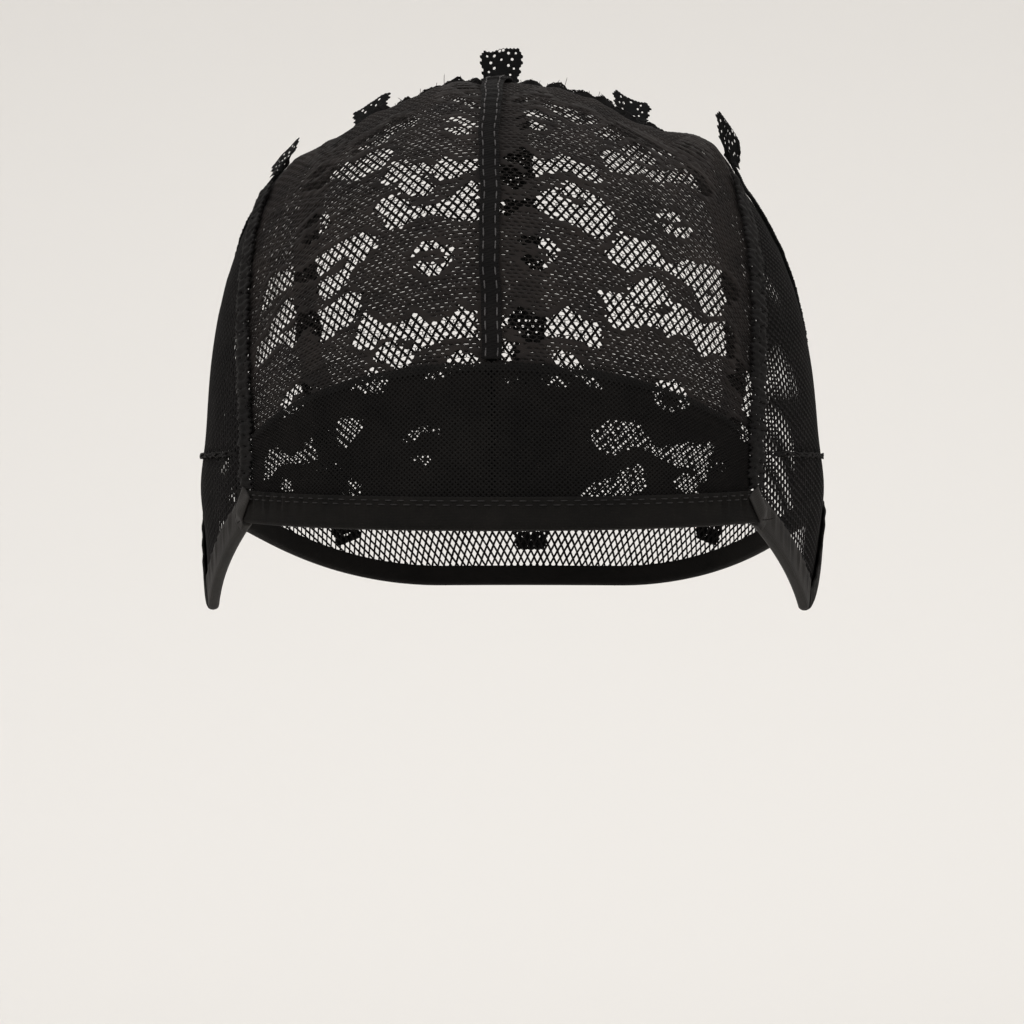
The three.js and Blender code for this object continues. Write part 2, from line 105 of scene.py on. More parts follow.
FOLD_HEIGHT = 3
FOLD_REACH_ANGLE = 22
CROWN_FOLDS = [  # place and width as shares of the crown seam, height as a share of FOLD_HEIGHT
    (-0.7, 0.2, -1.15),
    (-0.4, 0.15, -0.6),
    (-0.2, 0.13, 0.6),
    (0.1, 0.12, 0.3),
    (0.62, 0.2, -1.15),
    (0.93, 0.15, 1),
]

STRIP_WIDTH = 10.3
STRIP_WAIST = 8.2
STRIP_REPEAT = 14
STRIP_END_HEIGHT = 10.5
STRIP_SETBACK = 3.6
STRIP_FOOT = 4.5
STRIPS = [  # name, share of the crown seam, azimuth at the lower edge, share of STRIP_END_HEIGHT
    ("outer_left", -0.97, -118, 0.8),
    ("inner_left", -0.56, -149, 0.78),
    ("centre", 0, 180, 1),
    ("inner_right", 0.55, 149, 0.8),
    ("outer_right", 0.97, 118, 0.9),
]

# The camera stands level, a metre in front, turned a little to the wearer's left
CAMERA_TURN = math.radians(3)
CAMERA_DISTANCE = 1.0
CAMERA_AIM = Vector((0.0032, 0, -0.1083))
CAMERA_LENS = 136
SENSOR = 36
CHART_MIDDLE = 512
CHART_UNIT = SENSOR / CAMERA_LENS * CAMERA_DISTANCE / (2 * CHART_MIDDLE)

SIDES = ((-1, "left"), (1, "right"))
rng = np.random.default_rng(4)


def lerp(a, b, t):
    return a + (b - a) * t


def smooth(x, low, high):
    t = np.clip((x - low) / (high - low), 0, 1)
    return t * t * (3 - 2 * t)


def bell(x):
    return np.exp(-(x**2))


def unit(v):
    return v / np.linalg.norm(v, axis=-1, keepdims=True)


def degrees_of(length):
    return math.degrees(length / HALF_WIDTH)


SEAM = degrees_of(GAP) / 2


# The form, for arrays of points


def form_terms(p):
    depth = np.where(p[:, 1] < 0, FRONT_DEPTH, BACK_DEPTH)
    height = np.where(p[:, 2] < 0, SKIRT_HEIGHT, CROWN_HEIGHT)
    level = (p[:, 0] / HALF_WIDTH) ** 2 + (p[:, 1] / depth) ** 2
    return depth, height, level, np.abs(p[:, 2]) / height


def on_form(direction):
    _, _, level, upright = form_terms(direction)
    size = level ** (SQUARENESS / 2) + upright**SQUARENESS
    return direction * (size ** (-1 / SQUARENESS))[:, None]


def form_normal(p):
    depth, height, level, upright = form_terms(p)
    flat = level ** (SQUARENESS / 2 - 1)
    lift = np.sign(p[:, 2]) * upright ** (SQUARENESS - 1) / height
    return unit(np.stack([flat * p[:, 0] / HALF_WIDTH**2, flat * p[:, 1] / depth**2, lift], 1))


def pitched(pitch, spread):
    a, b = np.broadcast_arrays(np.radians(np.atleast_1d(pitch)), np.radians(np.atleast_1d(spread)))
    return np.stack([np.sin(b), -np.cos(b) * np.cos(a), np.cos(b) * np.sin(a)], 1)


def at_level(azimuth, height):
    a, z = np.broadcast_arrays(np.radians(np.atleast_1d(azimuth)), np.atleast_1d(height).astype(float))
    flat = np.stack([np.sin(a), -np.cos(a), np.zeros(a.shape)], 1)
    share = np.abs(z) / np.where(z < 0, SKIRT_HEIGHT, CROWN_HEIGHT)
    radius = (1 - share**SQUARENESS) ** (1 / SQUARENESS) / np.sqrt(form_terms(flat)[2])
    flat = flat * radius[:, None]
    flat[:, 2] = z
    return flat


def pitch_of(p):
    return np.degrees(np.arctan2(p[:, 2], -p[:, 1]))


def spread_of(p):
    return np.degrees(np.arcsin(p[:, 0] / np.linalg.norm(p, axis=1)))


def azimuth_of(p):
    return np.degrees(np.arctan2(p[:, 0], -p[:, 1]))


def crown_pitch(share):
    return lerp(CROWN_PITCH_ANGLE, CROWN_END_PITCH_ANGLE, np.minimum(share**2, 1))


def hem_pitch(share):
    return pitch_of(at_level(share * HEM_SPREAD_ANGLE, -(HEM_DROP + HEM_DIP * (1 - share**2))))


def rise_pitch(rise, share):
    return pitch_of(at_level(share * HEM_SPREAD_ANGLE, rise))


HEM_END_PITCH = float(hem_pitch(np.ones(1))[0])


def side_spread(pitch):
    rise = np.clip((pitch - HEM_END_PITCH) / (CROWN_END_PITCH_ANGLE - HEM_END_PITCH), 0, 1)
    return lerp(HEM_SPREAD_ANGLE, CROWN_SPREAD_ANGLE, rise**SIDE_CURVE)


def band_top_pitch(share):
    return rise_pitch(lerp(BAND_RISE, BAND_END_RISE, share**2), share)


SIDE_AZIMUTH = float(azimuth_of(pitched(HEM_END_PITCH, HEM_SPREAD_ANGLE))[0])


def lower_edge(azimuth):
    a = np.abs(azimuth)
    front = -lerp(HEM_DROP, EAR_TIP_DROP, (a - SIDE_AZIMUTH) / (EAR_TIP_AZIMUTH - SIDE_AZIMUTH))
    ear = -lerp(EAR_TIP_DROP, EAR_ARCH_DROP, smooth(a, EAR_TIP_AZIMUTH, EAR_ARCH_AZIMUTH))
    back = -lerp(EAR_ARCH_DROP, NAPE_DROP, smooth(a, EAR_ARCH_AZIMUTH, NAPE_AZIMUTH))
    return np.where(a < EAR_TIP_AZIMUTH, front, np.where(a < EAR_ARCH_AZIMUTH, ear, back))


def fold_at(p):
    share = spread_of(p) / CROWN_SPREAD_ANGLE
    away = (pitch_of(p) - crown_pitch(share)) / FOLD_REACH_ANGLE
    folds = sum(height * bell((share - place) / width) for place, width, height in CROWN_FOLDS)
    return FOLD_HEIGHT * bell(away) * folds


def puff_at(p):
    turn = (np.abs(azimuth_of(p)) - EAR_PUFF_AZIMUTH) / EAR_PUFF_ANGLE
    return EAR_PUFF_HEIGHT * bell(turn) * bell((p[:, 2] + EAR_PUFF_DROP) / EAR_PUFF_REACH)


# Small gathers of the cloth: ripples that fan out from the crown seam, and some along the hem's ends
GATHERS = [(31, 0.0, 0.55), (47, 1.3, 0.35), (73, 2.1, 0.2)]
GATHER_HEIGHT = 0.55
GATHER_SPREAD = 1.15
GATHER_REACH_ANGLE = 15


def gather_at(p):
    share = spread_of(p) / CROWN_SPREAD_ANGLE
    away = (pitch_of(p) - crown_pitch(share)) / GATHER_REACH_ANGLE
    ripple = sum(size * np.sin(count * share + phase) for count, phase, size in GATHERS)
    return GATHER_HEIGHT * bell(away) * ripple * bell(share / GATHER_SPREAD)


def seat(direction, lift):
    """Points on the worn cap in metres, lift millimetres over the inner face of the net."""
    base = on_form(direction)
    total = lift + fold_at(base) + puff_at(base) + gather_at(base)
    p = base + form_normal(base) * total[:, None]
    p[:, 0] += CROWN_LEAN * (1 - (np.maximum(base[:, 2], 0) / CROWN_HEIGHT) ** 2)
    p[:, 2] -= CROWN_HEIGHT
    return p / METRE


def between(start, end, share):
    a, b = unit(start), unit(end)
    angle = np.arccos(np.clip((a * b).sum(1), -1, 1))
    return unit(a * np.sin((1 - share) * angle)[:, None] + b * np.sin(share * angle)[:, None])


# Meshes


def add_object(name, data):
    made = bpy.data.objects.new(name, data)
    bpy.context.scene.collection.objects.link(made)
    return made


def build(name, points, faces, slot, material, node=None, across=None):
    """An object on the body from points and lists of equal faces; across gives its UVs in millimetres."""
    mesh = bpy.data.meshes.new(name)
    lists = [np.asarray(f) for f in faces if len(f)]
    loops = np.concatenate([f.reshape(-1) for f in lists]).astype(np.int32)
    totals = np.concatenate([np.full(len(f), f.shape[1]) for f in lists]).astype(np.int32)
    starts = np.concatenate([[0], np.cumsum(totals)[:-1]]).astype(np.int32)
    mesh.vertices.add(len(points))
    mesh.vertices.foreach_set("co", np.asarray(points, np.float32).reshape(-1))
    mesh.loops.add(len(loops))
    mesh.loops.foreach_set("vertex_index", loops)
    mesh.polygons.add(len(totals))
    mesh.polygons.foreach_set("loop_start", starts)
    if across is not None:
        layer = mesh.uv_layers.new(name="ribbon")
        layer.data.foreach_set("uv", np.asarray(across, np.float32)[loops].reshape(-1))
    mesh.update(calc_edges=True)
    mesh.validate()
    mesh.polygons.foreach_set("use_smooth", np.ones(len(mesh.polygons), bool))
    mesh.materials.append(material)
    made = add_object(f"{name}_cloth" if node else name, mesh)
    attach(made, "root")
    if node:
        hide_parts(node)
    return made


DIAMOND = np.array([(0, 1), (1, 0), (0, -1), (-1, 0)])
HEX = np.array([(0, 2), (1, 1), (1, -1), (0, -2), (-1, -1), (-1, 1)])
COLUMN_UNITS = 2
ROW_UNITS = 3
ROW_SHARE = 0.9
KEY_BASE = 100000
PAD_LEAST = 0.7
PAD_SPREAD = 0.6


def hex_cells(columns, rows):
    """Centres of a net's cells on a lattice where a cell is 2 wide and each row stands 3 over the last."""
    column, row = np.meshgrid(np.arange(columns), np.arange(rows))
    x = COLUMN_UNITS * column + 1 + row % 2
    y = ROW_UNITS * row + 2
    whole = x < COLUMN_UNITS * columns
    return np.stack([x[whole], y[whole]], 1)


def diamond_cells(columns, rows):
    """Centres of a net of diamonds, 2 wide and 2 high."""
    x, y = (a.reshape(-1) for a in np.meshgrid(np.arange(1, columns), np.arange(1, rows)))
    return np.stack([x, y], 1)[(x + y) % 2 == 0]


def net_mesh(shape, cells, openness, place, depth, pad=0.0, flatness=None):
    """A closed net: threads between cells whose holes are openness wide, and pads in cells that have none.
    place puts lattice points and lifts on the cap, flatness squeezes holes. Returns points and faces."""
    sides = len(shape)
    corners = cells[:, None, :] + shape[None]
    keys = (corners[..., 0] + KEY_BASE // 2) * KEY_BASE + corners[..., 1] + KEY_BASE // 2
    found, index = np.unique(keys, return_inverse=True)
    index = index.reshape(keys.shape)
    knots = (np.stack([found // KEY_BASE, found % KEY_BASE], 1) - KEY_BASE // 2).astype(float)
    half = np.full(len(knots), depth / 2)
    points = [place(knots[:, 0], knots[:, 1], half), place(knots[:, 0], knots[:, 1], -half)]
    below = len(knots)
    total = 2 * len(knots)
    open_cells = openness > 0
    faces = []
    size = openness[open_cells][:, None, None]
    if flatness is not None:
        size = size * np.stack([np.ones(open_cells.sum()), flatness[open_cells]], 1)[:, None, :]
    flat = (cells[open_cells][:, None, :] + shape[None] * size).reshape(-1, 2)
    if len(flat):
        points.append(place(flat[:, 0], flat[:, 1], np.zeros(len(flat))))
        ring = total + np.arange(len(flat)).reshape(-1, sides)
        total += len(flat)
        outer = index[open_cells]
        for side, order in ((outer, 1), (below + outer, -1)):
            quads = np.stack([side, np.roll(side, -1, 1), np.roll(ring, -1, 1), ring], -1).reshape(-1, 4)
            faces.append(quads[:, ::order])
    filled = cells[~open_cells].astype(float)
    if len(filled):
        swell = depth / 2 + pad * (PAD_LEAST + PAD_SPREAD * rng.random(len(filled)))
        for sign in (1, -1):
            points.append(place(filled[:, 0], filled[:, 1], sign * swell))
            side = index[~open_cells] + (0 if sign > 0 else below)
            middle = np.repeat((total + np.arange(len(filled)))[:, None], sides, 1)
            total += len(filled)
            triangles = np.stack([side, np.roll(side, -1, 1), middle], -1).reshape(-1, 3)
            faces.append(triangles[:, ::sign])
    edges = np.stack([index, np.roll(index, -1, 1)], -1).reshape(-1, 2)
    _, which, uses = np.unique(np.sort(edges, 1), axis=0, return_index=True, return_counts=True)
    a, b = edges[which[uses == 1]].T
    faces.append(np.stack([b, a, below + a, below + b], 1))
    return np.concatenate(points), faces


def outward(points, faces):
    """Turns the faces over where the first face's side points inward."""
    face = np.asarray(faces[0])[len(faces[0]) // 2]
    a, b, c = (points[i] for i in face[:3])
    side = a - np.array([0, 0, -CROWN_HEIGHT / METRE])
    return faces if (np.cross(b - a, c - a) * side).sum() > 0 else [f[:, ::-1] for f in faces]


def net_piece(name, slot, material, *net):
    """The netting that takes the place of the solid of its name; net is what net_mesh takes."""
    points, faces = net_mesh(*net)
    return build(name, points, outward(points, faces), slot, material, node=name)


def volume_under(points, *corners):
    """Six times the volume between triangles and the first point, negative where they face it."""
    a, b, c = (points[i] - points[0] for i in corners)
    return np.einsum("ij,ij->i", a, np.cross(b, c)).sum()


def sweep(name, outline, stations, place, **settings):
    """Carries a closed outline of (across, lift) pairs through stations and caps the ends."""
    count = len(outline)
    outline = np.asarray(outline, float)
    rings = [place(s, outline[:, 0], outline[:, 1]) for s in stations]
    points = np.concatenate(rings)
    total = len(stations)
    ring, corner = np.meshgrid(np.arange(total - 1), np.arange(count), indexing="ij")
    a = ring * count + corner
    b = ring * count + (corner + 1) % count
    quads = np.stack([a, b, b + count, a + count], -1).reshape(-1, 4)
    steps = np.arange(count // 2 - 1)
    cap = np.stack([steps, steps + 1, count - 2 - steps, count - 1 - steps], 1)
    middles = np.array([r.mean(0) for r in rings]) * METRE
    run = np.concatenate([[0], np.cumsum(np.linalg.norm(np.diff(middles, axis=0), axis=1))])
    uv = np.stack([np.tile(outline[:, 0], total), np.repeat(run, count)], 1)
    faces = [quads, cap[:, ::-1], cap + (total - 1) * count]
    if sum(volume_under(points, quads[:, 0], quads[:, k], quads[:, k + 1]) for k in (1, 2)) < 0:
        faces = [f[:, ::-1] for f in faces]
    return build(name, points, faces, across=uv, **settings)


def tubes(name, lines, radius, sides=5, **settings):
    """Round threads along lists of points in metres, pointed at both ends."""
    points, faces, total = [], [], 0
    turn = np.linspace(0, 2 * np.pi, sides, endpoint=False)
    for line in lines:
        line = np.asarray(line, float)
        along = unit(np.gradient(line, axis=0))
        side = np.cross(along, np.where(np.abs(along[:, 2:]) < 0.9, [[0, 0, 1.0]], [[1.0, 0, 0]]))
        side = unit(side)
        up = np.cross(along, side)
        t = np.linspace(-1, 1, len(line))
        thick = radius * np.sqrt(np.clip(1.02 - t**8, 0.02, 1))
        ring = line[:, None] + thick[:, None, None] * (
            side[:, None] * np.cos(turn)[None, :, None] + up[:, None] * np.sin(turn)[None, :, None]
        )
        points.append(ring.reshape(-1, 3))
        r, c = np.meshgrid(np.arange(len(line) - 1), np.arange(sides), indexing="ij")
        a = total + r * sides + c
        b = total + r * sides + (c + 1) % sides
        faces.append(np.stack([a, a + sides, b + sides, b], -1).reshape(-1, 4))
        for first, order in ((total, 1), (total + (len(line) - 1) * sides, -1)):
            fan = np.array([[first, first + k, first + k + 1] for k in range(1, sides - 1)])
            faces.append(fan[:, ::order])
        total += len(line) * sides
    return build(name, np.concatenate(points), faces, **settings)


# Materials

SHEEN = {"Sheen Roughness": 0.45, "Sheen Tint": (0.8, 0.74, 0.72, 1)}
CLOUD = {"Scale": 90, "Detail": 5, "Roughness": 0.65}
WEAVE = {"Distortion": 0.6, "Detail": 1}
TONE_STOPS = (0.34, 0.68)
FIBRE_DETAIL = 3
FIBRE_RELIEF = 0.0003
RIB_RELIEF = 0.0002
RIB_STRENGTHS = (0.55, 0.3)
YARN_FIBRES = 2600
CROCHET_FIBRES = 2200
RIBBON_FIBRES = 1800
THREAD_FIBRES = 3000


def feed(tree, node, inputs):
    """Sets a node's inputs, each to a value or from the output of another node."""
    for name, value in inputs.items():
        if isinstance(value, bpy.types.NodeSocket):
            tree.links.new(value, node.inputs[name])
        else:
            node.inputs[name].default_value = value
    return node


def plain_material(name, inputs):
    material = bpy.data.materials.new(name)
    material.use_nodes = True
    feed(material.node_tree, material.node_tree.nodes["Principled BSDF"], inputs)
    return material


def fabric(name, dark, light, roughness, sheen, fibres, bump, ribs=0.0, rib_turn=0.0, specular=0.3):
    """Cloth whose colour wanders between two tones, with fibres and, on ribbons, woven ribs as bump."""
    look = {"Roughness": roughness, "Sheen Weight": sheen, "Specular IOR Level": specular}
    material = plain_material(name, {**look, **SHEEN})
    tree = material.node_tree

    def add(kind, inputs):
        return feed(tree, tree.nodes.new(kind), inputs)

    place = tree.nodes.new("ShaderNodeTexCoord")
    solid, ribbon = place.outputs["Object"], place.outputs["UV"]
    cloud = add("ShaderNodeTexNoise", {"Vector": solid, **CLOUD})
    ramp = add("ShaderNodeValToRGB", {"Fac": cloud.outputs["Fac"]})
    for stop, position, tone in zip(ramp.color_ramp.elements, TONE_STOPS, (dark, light)):
        stop.position = position
        stop.color = (*tone, 1)
    fibre = add("ShaderNodeTexNoise", {"Vector": solid, "Scale": fibres, "Detail": FIBRE_DETAIL})
    relief = {"Height": fibre.outputs["Fac"], "Strength": bump, "Distance": FIBRE_RELIEF}
    last = add("ShaderNodeBump", relief)
    if ribs:
        for turn, strength in zip((rib_turn, rib_turn + math.pi / 2), RIB_STRENGTHS):
            turned = add("ShaderNodeMapping", {"Vector": ribbon, "Rotation": (0, 0, turn)})
            wave = add("ShaderNodeTexWave", {"Vector": turned.outputs["Vector"], "Scale": ribs, **WEAVE})
            relief = {"Height": wave.outputs["Fac"], "Strength": strength, "Distance": RIB_RELIEF}
            last = add("ShaderNodeBump", {**relief, "Normal": last.outputs["Normal"]})
    surface = {"Base Color": ramp.outputs["Color"], "Normal": last.outputs["Normal"]}
    feed(tree, tree.nodes["Principled BSDF"], surface)
    return material


LACE = fabric(
    "lace_yarn", (0.007, 0.0055, 0.005), (0.0185, 0.0145, 0.0127), 0.85, 0.04, YARN_FIBRES, 0.5, specular=0.18
)
NETTING = fabric(
    "net_yarn", (0.0036, 0.0031, 0.003), (0.0085, 0.0075, 0.0072), 0.85, 0.02, YARN_FIBRES, 0.4, specular=0.16
)
BAND_NET = fabric(
    "band_yarn", (0.003, 0.0026, 0.0024), (0.007, 0.0062, 0.0056), 0.88, 0.015, YARN_FIBRES, 0.4,
    specular=0.14,
)
TAPE_CLOTH = fabric(
    "hem_ribbon", (0.0034, 0.0029, 0.0024), (0.0066, 0.0056, 0.0047), 0.8, 0.015, RIBBON_FIBRES, 0.3, 0.9,
    specular=0.13,
)
EAR_CLOTH = fabric(
    "ear_ribbon", (0.0095, 0.008, 0.007), (0.017, 0.0145, 0.0125), 0.62, 0.035, RIBBON_FIBRES, 0.25, 0.9,
    specular=0.28,
)
SEAM_CLOTH = fabric(
    "seam_ribbon", (0.0022, 0.0019, 0.0018), (0.0052, 0.0045, 0.0043), 0.85, 0.012, RIBBON_FIBRES, 0.45, 0.7,
    0.5, 0.12,
)
CROCHET = fabric(
    "crochet_yarn", (0.0012, 0.0012, 0.0012), (0.0035, 0.0033, 0.0033), 0.75, 0.01, CROCHET_FIBRES, 0.6,
    specular=0.12,
)
STITCH_GREY = fabric(
    "stitch_thread_grey", (0.035, 0.033, 0.033), (0.065, 0.06, 0.06), 0.6, 0.1, THREAD_FIBRES, 0.3
)
STITCH_DARK = fabric(
    "stitch_thread_dark", (0.008, 0.007, 0.007), (0.017, 0.015, 0.015), 0.6, 0.05, THREAD_FIBRES, 0.3
)


# The lace's pattern: the sheer openings, charted as they show from the front. Chart units are
# a quarter of a millimetre, x to the right and y down, with 512 both ways where the camera aims. Each
# outline gives the x and y of its corners in turn.
SHEER_LEFT = {
    "crown_arc_top": [451, 84, 458, 81, 466, 83, 473, 90, 477, 95, 470, 96, 462, 92, 455, 87],
    "crown_arc": [440, 98, 446, 90, 453, 92, 460, 98, 472, 101, 482, 110, 470, 107, 455, 101],
    "crown_arc_low": [445, 120, 457, 117, 466, 120, 477, 126, 468, 127, 457, 122],
    "crown_lens": [444, 130, 455, 126, 466, 129, 475, 134, 462, 134, 450, 133],
    "strip_up": [
        351, 147, 362, 140, 380, 130, 394, 119, 408, 116, 419, 119, 414, 126, 402, 128, 392, 135, 378, 136,
        366, 141, 356, 147,
    ],
    "strip_fork": [353, 152, 366, 144, 380, 140, 390, 134, 388, 141, 374, 146, 360, 151],
    "speck_left": [330, 147, 337, 139, 341, 142, 335, 148],
    "speck_corner": [310, 161, 313, 153, 317, 156, 314, 162],
    "diagonal_high": [
        300, 190, 308, 184, 320, 181, 332, 172, 330, 166, 345, 164, 356, 162, 366, 155, 376, 151, 386, 148,
        394, 150, 389, 159, 382, 168, 370, 172, 360, 179, 349, 182, 340, 176, 330, 181, 318, 189, 306, 191,
    ],
    "diagonal_branch": [309, 179, 318, 169, 331, 163, 324, 172, 313, 180],
    "band_high": [
        380, 183, 384, 175, 388, 169, 394, 162, 404, 161, 412, 166, 425, 163, 434, 166, 442, 156, 448, 158,
        456, 164, 466, 160, 478, 160, 478, 170, 466, 172, 458, 176, 446, 180, 438, 181, 432, 173, 420, 172,
        410, 174, 402, 179, 394, 184,
    ],
    "band_high_lens": [
        396, 190, 402, 181, 408, 175, 416, 174, 425, 177, 434, 184, 431, 193, 424, 198, 414, 195, 404, 192,
    ],
    "band_second": [
        371, 211, 378, 205, 384, 199, 390, 196, 397, 193, 404, 201, 411, 208, 420, 206, 430, 206, 438, 205,
        446, 199, 456, 195, 464, 186, 470, 182, 478, 181, 478, 222, 466, 220, 454, 220, 442, 215, 430, 214,
        420, 217, 408, 222, 400, 228, 390, 230, 384, 226, 384, 217, 376, 214,
    ],
    "eye_inner_top": [
        411, 255, 416, 249, 424, 242, 436, 242, 448, 246, 454, 248, 451, 260, 446, 270, 443, 267, 445, 258,
        443, 251, 434, 249, 424, 250, 416, 256,
    ],
    "eye_inner_low": [411, 266, 420, 262, 430, 262, 438, 266, 444, 271, 438, 275, 426, 277, 418, 272],
    "eye_outer_top": [
        301, 231, 308, 222, 316, 215, 326, 213, 331, 221, 327, 229, 322, 226, 321, 219, 312, 225,
    ],
    "eye_outer_low": [301, 243, 308, 236, 316, 232, 323, 230, 318, 239, 309, 243],
    "diagonal_big": [
        261, 314, 263, 300, 267, 288, 271, 278, 280, 272, 290, 268, 302, 272, 312, 265, 320, 255, 330, 249,
        342, 242, 352, 237, 362, 233, 372, 234, 378, 245, 370, 252, 362, 261, 352, 257, 344, 257, 336, 262,
        328, 270, 320, 276, 314, 281, 302, 281, 290, 285, 282, 291, 275, 297, 268, 309,
    ],
    "diagonal_lens": [
        317, 286, 326, 278, 336, 276, 342, 269, 350, 259, 357, 262, 352, 273, 346, 283, 338, 291, 330, 297,
        324, 300, 319, 296,
    ],
    "edge_diagonal": [
        257, 366, 257, 350, 263, 340, 280, 336, 290, 331, 298, 325, 307, 321, 300, 335, 294, 347, 287, 343,
        280, 341, 272, 350, 264, 361,
    ],
    "edge_blob": [267, 336, 273, 322, 281, 308, 289, 297, 298, 308, 292, 319, 284, 327, 276, 337],
    "middle_big": [
        286, 342, 294, 330, 299, 314, 310, 312, 322, 311, 334, 303, 344, 293, 354, 291, 362, 294, 361, 309,
        352, 323, 340, 329, 330, 337, 322, 343, 314, 333, 308, 326, 300, 335, 292, 346,
    ],
    "wavy_band": [
        352, 347, 356, 336, 360, 326, 362, 313, 372, 316, 382, 324, 396, 324, 406, 321, 414, 310, 420, 318,
        430, 324, 440, 321, 450, 316, 456, 309, 460, 302, 466, 311, 476, 312, 478, 339, 462, 338, 448, 337,
        440, 341, 430, 345, 420, 351, 412, 346, 414, 339, 404, 339, 394, 339, 384, 337, 378, 344, 372, 350,
        362, 348,
    ],
    "blob": [
        372, 359, 378, 348, 384, 343, 392, 341, 398, 347, 406, 351, 415, 348, 413, 360, 408, 371, 400, 369,
        388, 364, 378, 361,
    ],
    "blob_low": [
        352, 389, 360, 380, 366, 372, 372, 368, 378, 374, 387, 380, 384, 391, 376, 392, 364, 395, 358, 390,
    ],
    "arc_low": [
        423, 379, 434, 372, 442, 366, 448, 356, 458, 350, 468, 353, 478, 357, 478, 369, 464, 370, 454, 369,
        446, 374, 436, 381,
    ],
    "eye_side": [
        282, 405, 286, 394, 296, 386, 306, 382, 311, 390, 310, 403, 305, 400, 304, 391, 298, 393, 292, 399,
        290, 406, 297, 407, 302, 405, 296, 412, 285, 416,
    ],
    "under_band_diagonal": [
        265, 479, 265, 462, 269, 451, 277, 447, 284, 453, 292, 457, 300, 451, 308, 442, 318, 431, 330, 425,
        340, 419, 350, 417, 361, 421, 362, 431, 354, 439, 344, 449, 334, 445, 324, 451, 316, 459, 304, 463,
        290, 463, 280, 465, 272, 477,
    ],
    "under_band_blob": [317, 471, 321, 463, 332, 460, 342, 463, 343, 475, 334, 481, 321, 479],
    "under_band_speck": [281, 489, 284, 479, 292, 481, 291, 491],
    "under_band_corner": [339, 495, 342, 483, 352, 480, 360, 485, 357, 497, 346, 498],
    "under_band_eye_top": [403, 441, 412, 431, 424, 426, 437, 429, 440, 436, 424, 433, 412, 440],
    "under_band_eye_low": [409, 459, 422, 455, 437, 458, 426, 464, 413, 463],
}
